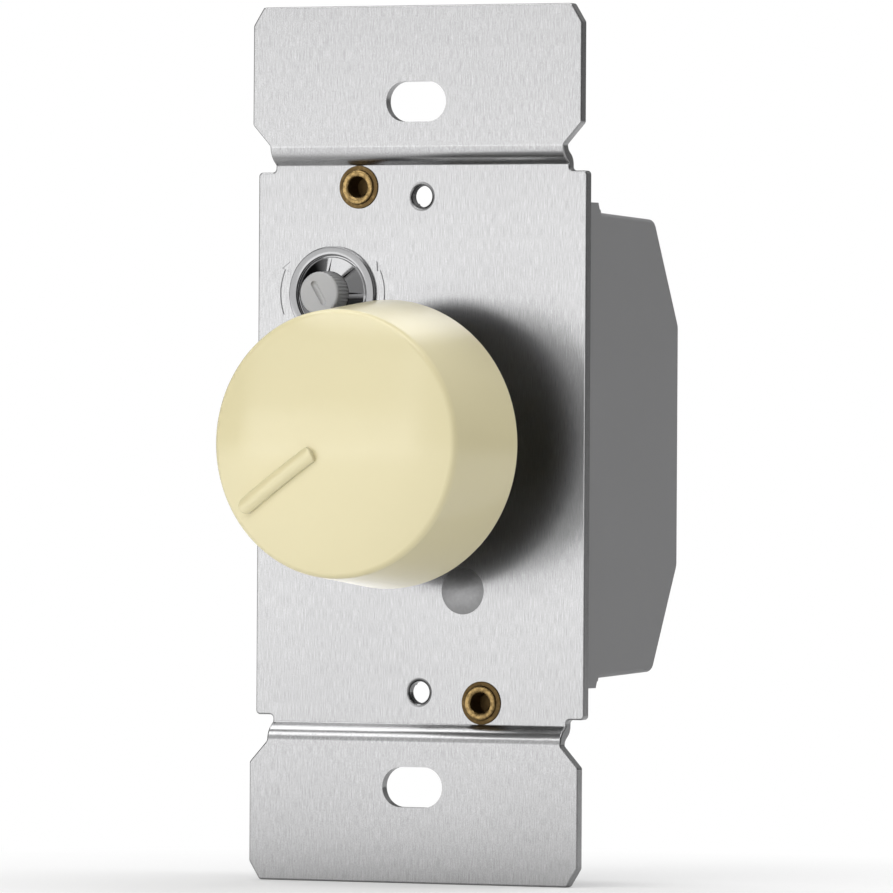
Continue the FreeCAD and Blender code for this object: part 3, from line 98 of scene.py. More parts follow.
def new_finish(name, colour, roughness, metallic=0.0):
    """A material with one shader, its node tree, that shader's inputs and the place on the piece."""
    finish = bpy.data.materials.new(name)
    finish.use_nodes = True
    tree = finish.node_tree
    shader = tree.nodes["Principled BSDF"]
    shader.inputs["Base Color"].default_value = (*colour, 1.0)
    shader.inputs["Roughness"].default_value = roughness
    shader.inputs["Metallic"].default_value = metallic
    place = put(tree, "ShaderNodeTexCoord").outputs["Object"]
    return finish, tree, shader.inputs, place


def spread(tree, value, low, high):
    """The value, from 0 to 1, laid out between low and high."""
    return put(tree, "ShaderNodeMapRange", {"Value": value, "To Min": low, "To Max": high}).outputs["Result"]


def tint(tree, value, dark, light):
    """A colour between dark and light, by the value."""
    mix = put(tree, "ShaderNodeMix", {"Factor": value}, data_type="RGBA")
    mix.inputs["A"].default_value = (*dark, 1.0)
    mix.inputs["B"].default_value = (*light, 1.0)
    return mix.outputs["Result"]


def shade(colour, amount):
    return tuple(channel * amount for channel in colour)


def dress(node, finish):
    """Gives a CAD piece its finish."""
    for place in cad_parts[node].material_slots:
        place.material = finish


rolled_grain, given, gives = new_group(
    "Rolled grain", "ShaderNodeTree",
    {"Place": "NodeSocketVector", "Lines per metre": "NodeSocketVector",
     "Flecks per metre": "NodeSocketFloat"},
    {"Streak": "NodeSocketFloat", "Fleck": "NodeSocketFloat"})
drawn_out = put(rolled_grain, "ShaderNodeVectorMath",
                {0: given["Place"], 1: given["Lines per metre"]}, operation="MULTIPLY").outputs[0]
streak = put(rolled_grain, "ShaderNodeTexNoise", {"Vector": drawn_out, "Scale": 1.0, "Detail": 3.0})
streak = put(rolled_grain, "ShaderNodeMapRange",
             {"Value": streak.outputs["Fac"], "From Min": 0.25, "From Max": 0.75}).outputs["Result"]
fleck = put(rolled_grain, "ShaderNodeTexNoise",
            {"Vector": given["Place"], "Scale": given["Flecks per metre"], "Detail": 2.0})
fleck = put(rolled_grain, "ShaderNodeMapRange",
            {"Value": fleck.outputs["Fac"], "From Min": 0.3, "From Max": 0.7}).outputs["Result"]
rolled_grain.links.new(streak, gives["Streak"])
rolled_grain.links.new(fleck, gives["Fleck"])

handling, given, gives = new_group(
    "Handling", "ShaderNodeTree",
    {"Place": "NodeSocketVector", "Patches per metre": "NodeSocketFloat"}, {"Smudge": "NodeSocketFloat"})
patches = put(handling, "ShaderNodeTexNoise",
              {"Vector": given["Place"], "Scale": given["Patches per metre"],
               "Detail": 4.0, "Roughness": 0.6})
smudge = put(handling, "ShaderNodeMapRange",
             {"Value": patches.outputs["Fac"], "From Min": 0.35, "From Max": 0.7}).outputs["Result"]
handling.links.new(smudge, gives["Smudge"])


def use(tree, group, sockets):
    """The outputs of a shared effect, placed in this tree with its own values."""
    return put(tree, "ShaderNodeGroup", sockets, node_tree=group).outputs


def rise(tree, height, distance):
    """A normal that leans as the height, from 0 to 1, climbs over that distance."""
    return put(tree, "ShaderNodeBump", {"Height": height, "Distance": distance}).outputs["Normal"]


# The tapped thread in the screw holes is painted: its roots are painted shade, a darker copy of the sheet's
# colour laid as a spiral on the hole's wall.
tapped_hole, given, gives = new_group(
    "Tapped hole", "ShaderNodeTree",
    {"Place": "NodeSocketVector", "Hole height": "NodeSocketFloat", "Reach": "NodeSocketFloat",
     "Pitch": "NodeSocketFloat"},
    {"Groove": "NodeSocketFloat"})
parts = put(tapped_hole, "ShaderNodeSeparateXYZ", {"Vector": given["Place"]}).outputs
either = put(tapped_hole, "ShaderNodeMath", {0: parts["Z"]}, operation="ABSOLUTE").outputs[0]
above = put(tapped_hole, "ShaderNodeMath", {0: either, 1: given["Hole height"]},
            operation="SUBTRACT").outputs[0]
flat = put(tapped_hole, "ShaderNodeCombineXYZ", {"X": parts["X"], "Y": above}).outputs[0]
off_axis = put(tapped_hole, "ShaderNodeVectorMath", {0: flat}, operation="LENGTH").outputs["Value"]
inside = put(tapped_hole, "ShaderNodeMath", {0: off_axis, 1: given["Reach"]},
             operation="LESS_THAN").outputs[0]
round_turn = put(tapped_hole, "ShaderNodeMath", {0: above, 1: parts["X"]}, operation="ARCTAN2").outputs[0]
deep = put(tapped_hole, "ShaderNodeMath", {0: parts["Y"], 1: given["Pitch"]}, operation="DIVIDE").outputs[0]
phase = put(tapped_hole, "ShaderNodeMath", {0: deep, 1: 2 * math.pi, 2: round_turn},
            operation="MULTIPLY_ADD").outputs[0]
wave = put(tapped_hole, "ShaderNodeMath", {0: phase}, operation="COSINE").outputs[0]
wave = put(tapped_hole, "ShaderNodeMapRange", {"Value": wave, "From Min": -1.0}).outputs["Result"]
groove = put(tapped_hole, "ShaderNodeMath", {0: wave, 1: inside}, operation="MULTIPLY").outputs[0]
tapped_hole.links.new(groove, gives["Groove"])

sheet, tree, surface, place = new_finish("mill aluminium", SHEET_COLOUR, 0.4, metallic=1.0)
grain = use(tree, rolled_grain, {"Place": place, "Lines per metre": SHEET_LINES,
                                 "Flecks per metre": SHEET_FLECKS})
worn = use(tree, handling, {"Place": place, "Patches per metre": 60.0})["Smudge"]
tone = put(tree, "ShaderNodeMix",
           {"Factor": SHEET_FLECK_SHARE, "A": grain["Streak"], "B": grain["Fleck"]}).outputs["Result"]
mill = tint(tree, tone, shade(SHEET_COLOUR, 1 - SHEET_CONTRAST), shade(SHEET_COLOUR, 1 + SHEET_CONTRAST))
thread = use(tree, tapped_hole, {"Place": place, "Hole height": SCREW_HOLE_HEIGHT, "Reach": SCREW_HOLE_REACH,
                                 "Pitch": SCREW_PITCH})["Groove"]
cut = put(tree, "ShaderNodeMix", {"Factor": thread}, data_type="RGBA")
tree.links.new(mill, cut.inputs["A"])
cut.inputs["B"].default_value = (*shade(SHEET_COLOUR, SCREW_ROOT_SHADE), 1.0)
# Mirrored in the knob's side and other glossy pieces, the sheet is painted lighter than it looks from the
# front: painted light, a brighter copy of its colour that only glossy rays see.
mirrored = put(tree, "ShaderNodeLightPath").outputs["Is Glossy Ray"]
toned = put(tree, "ShaderNodeMix", {"Factor": mirrored}, data_type="RGBA")
tree.links.new(cut.outputs["Result"], toned.inputs["A"])
toned.inputs["B"].default_value = (*SHEET_PAINTED_MIRROR_LIGHT, 1.0)
tree.links.new(toned.outputs["Result"], surface["Base Color"])
tree.links.new(spread(tree, worn, *SHEET_ROUGHNESS), surface["Roughness"])
tree.links.new(rise(tree, tone, SHEET_GRAIN_DEPTH), surface["Normal"])
dress("mounting_plate", sheet)


# Power switch element: a moulded package on a tinned copper tab, with a thin silicone pad
# between it and the plate. A solid aluminium rivet clamps it from the front.
def drawn_metal(name, colour, roughness, lines, depth=0.002 * MM, contrast=0.12):
    """Bare metal with its grain drawn out along one way, duller where it was handled."""
    finish, tree, surface, place = new_finish(name, colour, roughness, metallic=1.0)
    grain = use(tree, rolled_grain, {"Place": place, "Lines per metre": lines, "Flecks per metre": 2500.0})
    worn = use(tree, handling, {"Place": place, "Patches per metre": 90.0})["Smudge"]
    tone = put(tree, "ShaderNodeMath", {0: grain["Streak"], 1: grain["Fleck"]}, operation="ADD").outputs[0]
    tone = put(tree, "ShaderNodeMath", {0: tone, 1: 0.5}, operation="MULTIPLY").outputs[0]
    tree.links.new(tint(tree, tone, shade(colour, 1 - contrast), shade(colour, 1 + contrast)),
                   surface["Base Color"])
    tree.links.new(spread(tree, worn, roughness * 0.85, roughness * 1.15), surface["Roughness"])
    tree.links.new(rise(tree, grain["Streak"], depth), surface["Normal"])
    return finish


def moulded_skin(name, colour, roughness, pits=2600.0, depth=0.006 * MM, contrast=0.04):
    """Moulded plastic with a fine even skin, a little duller where it was handled."""
    finish, tree, surface, place = new_finish(name, colour, roughness)
    skin = put(tree, "ShaderNodeTexNoise", {"Vector": place, "Scale": pits, "Detail": 2.0}).outputs["Fac"]
    worn = use(tree, handling, {"Place": place, "Patches per metre": 70.0})["Smudge"]
    tree.links.new(tint(tree, worn, shade(colour, 1 - contrast), shade(colour, 1 + contrast)),
                   surface["Base Color"])
    tree.links.new(spread(tree, worn, roughness * 0.9, roughness * 1.12), surface["Roughness"])
    tree.links.new(rise(tree, skin, depth), surface["Normal"])
    return finish


ALONG_X = (300.0, 5000.0, 5000.0)
ALONG_Y = (5000.0, 300.0, 5000.0)
tinned_lead = drawn_metal("tinned lead", (0.74, 0.74, 0.74), 0.35, ALONG_Y)
black_epoxy = moulded_skin("black epoxy", (0.035, 0.035, 0.038), 0.5)
dress("insulating_pad", moulded_skin("silicone pad", (0.60, 0.60, 0.58), 0.65, pits=900.0))
dress("triac_tab", drawn_metal("tinned copper tab", (0.70, 0.70, 0.70), 0.32, ALONG_X))
dress("triac_case", black_epoxy)
dress("triac_leads", tinned_lead)
dress("triac_rivet", drawn_metal("dull rivet aluminium", (0.215, 0.215, 0.217), 0.46,
                                 (1500.0, 1500.0, 1500.0), depth=0.006 * MM, contrast=0.10))


# Rotary control: a black cup with a phenolic back cover, a printed track on a wafer with three
# tinned legs, and the leaf contacts that open the line at the off end. The cup takes the shaft.
phenolic = moulded_skin("phenolic sheet", (0.16, 0.075, 0.035), 0.45, pits=1800.0, contrast=0.15)
black_moulding = moulded_skin("black moulding", (0.03, 0.03, 0.033), 0.42)
contact_bronze = drawn_metal("contact bronze", (0.66, 0.43, 0.22), 0.3, ALONG_X)
dress("control_case", black_moulding)
dress("control_back_cover", phenolic)
dress("track_wafer", phenolic)
dress("control_terminals", tinned_lead)
dress("moving_contact", contact_bronze)
dress("fixed_contact", contact_bronze)


# Control bushing: turned from bar with a flange and a locking tab behind the plate, and a fine
# thread cut on its barrel for the nut.
TURNED = (900.0, 6000.0, 900.0)
THREAD_PITCH = 0.794 * MM
THREAD_CREST = 4.76 * MM
THREAD_ROOT = 4.36 * MM
THREAD_SIDES = 4
FLANGE_RADIUS = 8.2 * MM
FLANGE_FRONT = 1.27 * MM
TAB_HALF_WIDTH = 1.4 * MM
TAB_FRONT = 0.37 * MM
TAB_BOTTOM = -7.4 * MM
TAB_TOP = -6.4 * MM
SHAFT_BORE = 3.05 * MM
CHAMFER = 0.3 * MM
FINE_STEPS = 96
SAME_POINT = 1e-6
SHARP_ANGLE = 35.0


def turned(name, outline, steps=FINE_STEPS):
    """A closed piece turned about Y from a closed outline of radii and places along Y."""
    form = bmesh.new()
    rings = []
    for radius, y in outline:
        if radius:
            turns = [2 * math.pi * i / steps for i in range(steps)]
            rings.append([form.verts.new((radius * math.cos(a), y, radius * math.sin(a))) for a in turns])
        else:
            rings.append([form.verts.new((0.0, y, 0.0))])
    for near, far in zip(rings, rings[1:] + rings[:1]):
        if len(near) == len(far) == 1:
            continue
        for i in range(steps):
            j = (i + 1) % steps
            corners = [near[i % len(near)], near[j % len(near)], far[j % len(far)], far[i % len(far)]]
            form.faces.new(dict.fromkeys(corners))
    return finished(name, form)


def finished(name, form):
    """The form as an object at the origin, its faces outward, smooth but for its sharp edges."""
    bmesh.ops.remove_doubles(form, verts=form.verts, dist=SAME_POINT)
    bmesh.ops.recalc_face_normals(form, faces=form.faces)
    mesh = bpy.data.meshes.new(name)
    form.to_mesh(mesh)
    form.free()
    mesh.set_sharp_from_angle(angle=math.radians(SHARP_ANGLE))
    piece = bpy.data.objects.new(name, mesh)
    bpy.context.scene.collection.objects.link(piece)
    return piece


def grown(piece, tree, values, sharp_angle=SHARP_ANGLE):
    """The piece as the geometry tree makes it with those values, as a plain mesh."""
    modifier = piece.modifiers.new("growth", "NODES")
    modifier.node_group = tree
    for item in tree.interface.items_tree:
        if item.item_type == "SOCKET" and item.in_out == "INPUT" and item.name in values:
            modifier[item.identifier] = values[item.name]
    evaluated = piece.evaluated_get(bpy.context.evaluated_depsgraph_get())
    mesh = bpy.data.meshes.new_from_object(evaluated)
    piece.modifiers.remove(modifier)
    plain = bmesh.new()
    plain.from_mesh(mesh)
    bmesh.ops.recalc_face_normals(plain, faces=plain.faces)
    plain.to_mesh(mesh)
    plain.free()
    mesh.set_sharp_from_angle(angle=math.radians(sharp_angle))
    piece.data = mesh
    return piece


coil, given, gives = new_group(
    "Coil on a core", "GeometryNodeTree",
    {"Core": "NodeSocketGeometry", "Turns": "NodeSocketFloat", "Coil radius": "NodeSocketFloat",
     "Coil length": "NodeSocketFloat", "Wire radius": "NodeSocketFloat", "Wire sides": "NodeSocketInt",
     "Start": "NodeSocketVector", "Finish": "NodeSocketMaterial"},
    {"Piece": "NodeSocketGeometry"})
path = put(coil, "GeometryNodeCurveSpiral",
           {"Resolution": 48, "Rotations": given["Turns"], "Start Radius": given["Coil radius"],
            "End Radius": given["Coil radius"], "Height": given["Coil length"]})
upright = put(coil, "GeometryNodeSetCurveNormal", {"Curve": path.outputs["Curve"]}, mode="Z_UP")
laid = put(coil, "GeometryNodeTransform",
           {"Geometry": upright.outputs["Curve"], "Translation": given["Start"],
            "Rotation": (-math.pi / 2, 0.0, 0.0)})
strand = put(coil, "GeometryNodeCurvePrimitiveCircle",
             {"Resolution": given["Wire sides"], "Radius": given["Wire radius"]})
swept = put(coil, "GeometryNodeCurveToMesh",
            {"Curve": laid.outputs["Geometry"], "Profile Curve": strand.outputs["Curve"], "Fill Caps": True})
both = put(coil, "GeometryNodeJoinGeometry")
coil.links.new(given["Core"], both.inputs["Geometry"])
coil.links.new(swept.outputs["Mesh"], both.inputs["Geometry"])
real = put(coil, "GeometryNodeRealizeInstances", {"Geometry": both.outputs["Geometry"]})
coated = put(coil, "GeometryNodeSetMaterial",
             {"Geometry": real.outputs["Geometry"], "Material": given["Finish"]})
coil.links.new(coated.outputs["Geometry"], gives["Piece"])

low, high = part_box("control_bushing")
barrel_front, flange_back = low.y, high.y
thread_length = FLANGE_FRONT - barrel_front - 2 * THREAD_PITCH
bushing_steel = drawn_metal("turned bushing", (0.62, 0.62, 0.60), 0.3, TURNED)
barrel = turned("threaded_bushing", [
    (SHAFT_BORE, flange_back), (FLANGE_RADIUS - CHAMFER / 2, flange_back),
    (FLANGE_RADIUS, flange_back - CHAMFER / 2), (FLANGE_RADIUS, FLANGE_FRONT), (THREAD_ROOT, FLANGE_FRONT),
    (THREAD_ROOT, barrel_front + CHAMFER), (THREAD_ROOT - CHAMFER, barrel_front),
    (SHAFT_BORE + CHAMFER / 2, barrel_front), (SHAFT_BORE, barrel_front + CHAMFER / 2)])
form = bmesh.new()
form.from_mesh(barrel.data)
tab = bmesh.ops.create_cube(form, size=1.0)["verts"]
for vert in tab:
    vert.co = (vert.co.x * 2 * TAB_HALF_WIDTH,
               TAB_FRONT if vert.co.y < 0 else flange_back - CHAMFER,
               TAB_BOTTOM if vert.co.z < 0 else TAB_TOP)
form.to_mesh(barrel.data)
form.free()
bushing = grown(barrel, coil, {
    "Turns": thread_length / THREAD_PITCH,
    "Coil radius": THREAD_ROOT,
    "Coil length": thread_length,
    "Wire radius": THREAD_CREST - THREAD_ROOT,
    "Wire sides": THREAD_SIDES,
    "Start": (0.0, barrel_front + THREAD_PITCH, 0.0),
    "Finish": bushing_steel})
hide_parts("control_bushing")
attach(bushing, "switch_frame")


# Nut and washer: pressed and plated steel. The nut runs on the bushing's thread and draws the
# control's flange up against the back of the plate, with the washer on its front.
plated_steel = drawn_metal("plated steel", (0.68, 0.68, 0.68), 0.28, TURNED)
dress("bushing_washer", plated_steel)
dress("bushing_nut", plated_steel)


# Control shaft: turned aluminium with a flat milled at its end for the knob. Behind the plate it
# carries the nylon wheel with its cam and the bronze wiper that runs on the track.
nylon = moulded_skin("natural nylon", (0.78, 0.76, 0.68), 0.4)
dress("control_shaft", drawn_metal("turned shaft", (0.72, 0.72, 0.73), 0.28, TURNED))
dress("wiper_carrier", nylon)
dress("wiper", contact_bronze)


# Low speed trimmer: a moulded box on the board with three pins. Its grey adjuster stands out
# through the plate, with a fine knurl and a screwdriver slot.
adjuster_grey = moulded_skin("grey adjuster", (0.40, 0.40, 0.403), 0.45, pits=3500.0)
dress("trim_base", black_moulding)
dress("trim_cover", nylon)
dress("trim_terminals", tinned_lead)
dress("trim_adjuster", adjuster_grey)
dress("trim_wiper", contact_bronze)


# Trimmer ring: a push-on washer of bright spring steel. Eight petals rise from a dished ring and
# grip the adjuster, so the ring turns with it. One petal is made and repeated round the axis.
PETAL_COUNT = 8
PETAL_STEPS = 12
RING_RADIUS = 5.78 * MM
RING_SHEET = 0.26 * MM
RING_LIP = 4.79 * MM
RING_FRONT = -0.55 * MM
SLIT_END = 4.58 * MM
SLIT_HALF_WIDTH = 0.28 * MM
GRIP_RADIUS = 2.72 * MM
PETAL_MERGE = 0.002 * MM
ROUNDING_STEPS = 5


def rounded(corner, before, after, radius):
    """Points that round a corner of an outline off, between the points before and after it."""
    corner, before, after = Vector(corner), Vector(before), Vector(after)
    to_before = (before - corner).normalized()
    to_after = (after - corner).normalized()
    half = to_before.angle(to_after) / 2
    start = corner + to_before * radius / math.tan(half)
    end = corner + to_after * radius / math.tan(half)
    middle = corner + (to_before + to_after).normalized() * radius / math.sin(half)
    points = []
    for i in range(ROUNDING_STEPS + 1):
        arm = (start - middle).lerp(end - middle, i / ROUNDING_STEPS)
        points.append(tuple(middle + arm.normalized() * radius))
    return points


def softened(corners):
    """An outline from corners given as (radius, place, rounding); no rounding keeps the corner."""
    points = []
    for i, (radius, y, rounding) in enumerate(corners):
        before, after = corners[i - 1][:2], corners[(i + 1) % len(corners)][:2]
        points += rounded((radius, y), before, after, rounding) if rounding else [(radius, y)]
    return points


low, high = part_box("trim_ring")
ring_back, petal_tip = high.y, low.y
ring_centre = Vector(((low.x + high.x) / 2, 0.0, (low.z + high.z) / 2))
outline = softened([
    (SLIT_END, RING_FRONT + 0.24 * MM, 0), (RING_LIP - 0.06 * MM, RING_FRONT + 0.31 * MM, 0.04 * MM),
    (RING_LIP, RING_FRONT, 0.06 * MM), (RING_RADIUS, RING_FRONT, 0.12 * MM),
    (RING_RADIUS, ring_back, 0), (RING_RADIUS - RING_SHEET, ring_back, 0),
    (RING_RADIUS - RING_SHEET, RING_FRONT + RING_SHEET, 0.05 * MM),
    (RING_LIP + RING_SHEET, RING_FRONT + RING_SHEET, 0), (RING_LIP + RING_SHEET, ring_back, 0),
    (SLIT_END, ring_back, 0), (GRIP_RADIUS, petal_tip + RING_SHEET, 0), (GRIP_RADIUS, petal_tip, 0),
    (SLIT_END - 0.2 * MM, RING_FRONT + 0.2 * MM, 0.2 * MM)])
form = bmesh.new()
lines = []
for radius, y in outline:
    slit = SLIT_HALF_WIDTH * max(0.0, 1 - radius / SLIT_END)
    half_turn = math.pi / PETAL_COUNT - math.asin(slit / radius)
    turns = [math.pi / PETAL_COUNT + half_turn * (2 * i / PETAL_STEPS - 1) for i in range(PETAL_STEPS + 1)]
    lines.append([form.verts.new((radius * math.cos(a), y, radius * math.sin(a))) for a in turns])
for near, far in zip(lines, lines[1:] + lines[:1]):
    for i in range(PETAL_STEPS):
        form.faces.new([near[i], near[i + 1], far[i + 1], far[i]])
for end in (0, PETAL_STEPS):
    slit_edge = [line[end] for line, (radius, y) in zip(lines, outline) if radius <= SLIT_END + SAME_POINT]
    form.faces.new(slit_edge)
petal = finished("trim_ring_petals", form)

round_pattern, given, gives = new_group(
    "Copies round an axis", "GeometryNodeTree",
    {"Piece": "NodeSocketGeometry", "Count": "NodeSocketInt", "Centre": "NodeSocketVector",
     "Merge distance": "NodeSocketFloat", "Finish": "NodeSocketMaterial"},
    {"Pieces": "NodeSocketGeometry"})
points = put(round_pattern, "GeometryNodeMeshLine", {"Count": given["Count"], "Offset": (0.0, 0.0, 0.0)})
part_turn = put(round_pattern, "ShaderNodeMath", {0: 2 * math.pi, 1: given["Count"]}, operation="DIVIDE")
turn = put(round_pattern, "ShaderNodeMath",
           {0: put(round_pattern, "GeometryNodeInputIndex").outputs["Index"], 1: part_turn.outputs[0]},
           operation="MULTIPLY")
about_y = put(round_pattern, "ShaderNodeCombineXYZ", {"Y": turn.outputs[0]})
copies = put(round_pattern, "GeometryNodeInstanceOnPoints",
             {"Points": points.outputs["Mesh"], "Instance": given["Piece"], "Rotation": about_y.outputs[0]})
real = put(round_pattern, "GeometryNodeRealizeInstances", {"Geometry": copies.outputs["Instances"]})
joined = put(round_pattern, "GeometryNodeMergeByDistance",
             {"Geometry": real.outputs["Geometry"], "Distance": given["Merge distance"]})
placed = put(round_pattern, "GeometryNodeTransform",
             {"Geometry": joined.outputs["Geometry"], "Translation": given["Centre"]})
coated = put(round_pattern, "GeometryNodeSetMaterial",
             {"Geometry": placed.outputs["Geometry"], "Material": given["Finish"]})
round_pattern.links.new(coated.outputs["Geometry"], gives["Pieces"])

bright_steel = drawn_metal("bright spring steel", (0.17, 0.17, 0.172), 0.10, (900.0, 900.0, 900.0),
                           depth=0.0006 * MM, contrast=0.03)
ring = grown(petal, round_pattern, {
    "Count": PETAL_COUNT, "Centre": ring_centre, "Merge distance": PETAL_MERGE, "Finish": bright_steel})
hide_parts("trim_ring")
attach(ring, "trimmer")


# Circuit board: brown phenolic sheet, drilled for every lead. Two film capacitors and two dipped
# resistors stand on its back, and the small trigger diode on its front.
RESISTOR_BANDS = ((0.10, 0.03, 0.02), (0.02, 0.05, 0.02), (0.30, 0.17, 0.02))
FIRST_BAND = 0.28
BAND_SPACING = 0.2
BAND_HALF_WIDTH = 0.35 * MM
film_case = moulded_skin("film capacitor case", (0.48, 0.33, 0.03), 0.3)
dress("circuit_board", moulded_skin("phenolic board", (0.25, 0.13, 0.045), 0.5, pits=1500.0, contrast=0.12))
dress("filter_capacitor", film_case)
dress("timing_capacitor", film_case)
for leads in ("filter_capacitor_leads", "timing_capacitor_leads", "resistor_leads", "diac_leads",
              "choke_leads"):
    dress(leads, tinned_lead)
dress("diac", moulded_skin("blue diode body", (0.03, 0.09, 0.24), 0.3))
resistor_coat = moulded_skin("dipped resistor coat", (0.50, 0.34, 0.16), 0.35)
low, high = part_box("resistors")
tree = resistor_coat.node_tree
surface = tree.nodes["Principled BSDF"].inputs
along = put(tree, "ShaderNodeSeparateXYZ",
            {"Vector": put(tree, "ShaderNodeTexCoord").outputs["Object"]}).outputs["X"]
coat = surface["Base Color"].links[0].from_socket
for i, band in enumerate(RESISTOR_BANDS):
    middle = low.x + (high.x - low.x) * (FIRST_BAND + BAND_SPACING * i)
    inside = put(tree, "ShaderNodeMath", {0: along, 1: middle, 2: BAND_HALF_WIDTH},
                 operation="COMPARE").outputs[0]
    mix = put(tree, "ShaderNodeMix", {"Factor": inside}, data_type="RGBA")
    tree.links.new(coat, mix.inputs["A"])
    mix.inputs["B"].default_value = (*band, 1.0)
    coat = mix.outputs["Result"]
tree.links.new(coat, surface["Base Color"])
dress("resistors", resistor_coat)


# Suppression choke: enamelled copper wire wound in one layer on a pressed ferrite bobbin. It
# stands on the board, and its two tinned ends go through the board.
CHOKE_TURNS = 10
WIRE_FLATTENING = 0.96
WIRE_SIDES = 10
WINDING_BORE = 3.22 * MM
dress("choke_core", moulded_skin("pressed ferrite", (0.045, 0.045, 0.048), 0.6, pits=1600.0, contrast=0.15))
low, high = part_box("choke_winding")
centre = (low + high) / 2
wire_radius = (high.y - low.y) / CHOKE_TURNS / 2
outer_radius = (high.x - low.x) / 2
layer_radius = outer_radius - wire_radius
sleeve = turned("choke_turns", [
    (WINDING_BORE, low.y), (layer_radius, low.y), (layer_radius, high.y), (WINDING_BORE, high.y)])
for vert in sleeve.data.vertices:
    vert.co += Vector((centre.x, 0.0, centre.z))
winding = grown(sleeve, coil, {
    "Turns": CHOKE_TURNS - 1.0,
    "Coil radius": layer_radius,
    "Coil length": (high.y - low.y) - 2 * wire_radius,
    "Wire radius": wire_radius * WIRE_FLATTENING,
    "Wire sides": WIRE_SIDES,
    "Start": (centre.x, low.y + wire_radius, centre.z),
    "Finish": drawn_metal("enamelled copper", (0.60, 0.24, 0.10), 0.25, (800.0, 800.0, 800.0))}, 60.0)
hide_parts("choke_winding")
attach(winding, "switch_frame")


# Wire clamps: two cages bent from bronze strip. They stand on the board, each inside a port in
# the housing's back, and take the house wires.
dress("wire_clamps", contact_bronze)


# Rear housing: one grey moulding with a fine dull skin, closed at the back but for its ports. The
# two hollow rivets hold its lugs to the plate.
dress("rear_housing", moulded_skin("grey housing moulding", (0.20, 0.20, 0.203), 0.55, pits=4200.0,
                                   depth=0.008 * MM, contrast=0.03))


# Housing rivets: two hollow brass rivets rolled over on the plate's front. Their colour is bright
# brass at the rolled crest and browner the further back from it, into the bore and down the flanks.
BRASS_BRIGHT = (0.24, 0.165, 0.07)
BRASS_BROWN = (0.105, 0.068, 0.028)
RIVET_BORE = 1.25
BORE_DEPTH = 2.2
RIVET_CREST = 2.05
RIVET_HEAD = 2.62
RIVET_SHANK = 1.6
RIVET_REAR = 2.6
LUG_BACK = 4.27
CREST_PLACE = -0.6 * MM
BROWN_BELOW = 0.45 * MM
RIVET_STEPS = 72


def rivet_outline():
    """Radii and places along Y over the rolled crest to the rear head, from sizes in millimetres."""
    bore, crest, head, rear = RIVET_BORE, RIVET_CREST, RIVET_HEAD, RIVET_REAR
    face = [(bore, BORE_DEPTH), (bore, -0.3), (bore + 0.02, -0.40), (bore + 0.08, -0.49),
            (bore + 0.20, -0.565), (bore + 0.32, -0.6), (crest - 0.18, -0.605), (crest - 0.08, -0.585),
            (crest, -0.53), (crest + 0.03, -0.43), (crest + 0.05, -0.31), (crest + 0.09, -0.24),
            (crest + 0.18, -0.21), (head - 0.16, -0.195), (head - 0.05, -0.16), (head, -0.09),
            (head - 0.03, -0.02), (head - 0.05, 0.0), (RIVET_SHANK, 0.0)]
    back = [(RIVET_SHANK, LUG_BACK), (rear, LUG_BACK), (rear * 0.8, LUG_BACK + 0.63),
            (rear * 0.4, LUG_BACK + 0.9), (0.0, LUG_BACK + 0.9)]
    return [(radius * MM, y * MM) for radius, y in [(0.0, BORE_DEPTH)] + face + back]


crest_to_back, given, gives = new_group(
    "Crest to back", "ShaderNodeTree",
    {"Place": "NodeSocketVector", "Crest": "NodeSocketFloat", "Depth": "NodeSocketFloat"},
    {"Bright": "NodeSocketFloat"})
depth = put(crest_to_back, "ShaderNodeSeparateXYZ", {"Vector": given["Place"]}).outputs["Y"]
below = put(crest_to_back, "ShaderNodeMath", {0: depth, 1: given["Crest"]}, operation="SUBTRACT").outputs[0]
below = put(crest_to_back, "ShaderNodeMath", {0: below, 1: given["Depth"]}, operation="DIVIDE").outputs[0]
mottle = put(crest_to_back, "ShaderNodeTexNoise", {"Vector": given["Place"], "Scale": 2200.0, "Detail": 4.0})
edge = put(crest_to_back, "ShaderNodeMapRange", {"Value": mottle.outputs["Fac"], "From Min": 0.35,
                                           "From Max": 0.65, "To Max": 0.9}).outputs["Result"]
bright = put(crest_to_back, "ShaderNodeMath", {0: edge, 1: below}, operation="SUBTRACT").outputs[0]
bright = put(crest_to_back, "ShaderNodeMapRange", {"Value": bright, "From Min": -0.35, "From Max": 0.7}).outputs[0]
crest_to_back.links.new(bright, gives["Bright"])

brass, tree, surface, place = new_finish("rolled brass", BRASS_BRIGHT, 0.3, metallic=1.0)
# Brighter at the crest's place, browner the deeper behind it, with a mottled edge between.
crest_bright = use(tree, crest_to_back, {"Place": place, "Crest": CREST_PLACE, "Depth": BROWN_BELOW})["Bright"]
grain = use(tree, rolled_grain, {"Place": place, "Lines per metre": (2500.0, 2500.0, 2500.0),
                                 "Flecks per metre": 4000.0})
tree.links.new(tint(tree, crest_bright, BRASS_BROWN, BRASS_BRIGHT), surface["Base Color"])
tree.links.new(spread(tree, crest_bright, 0.5, 0.24), surface["Roughness"])
tree.links.new(rise(tree, grain["Streak"], 0.01 * MM), surface["Normal"])

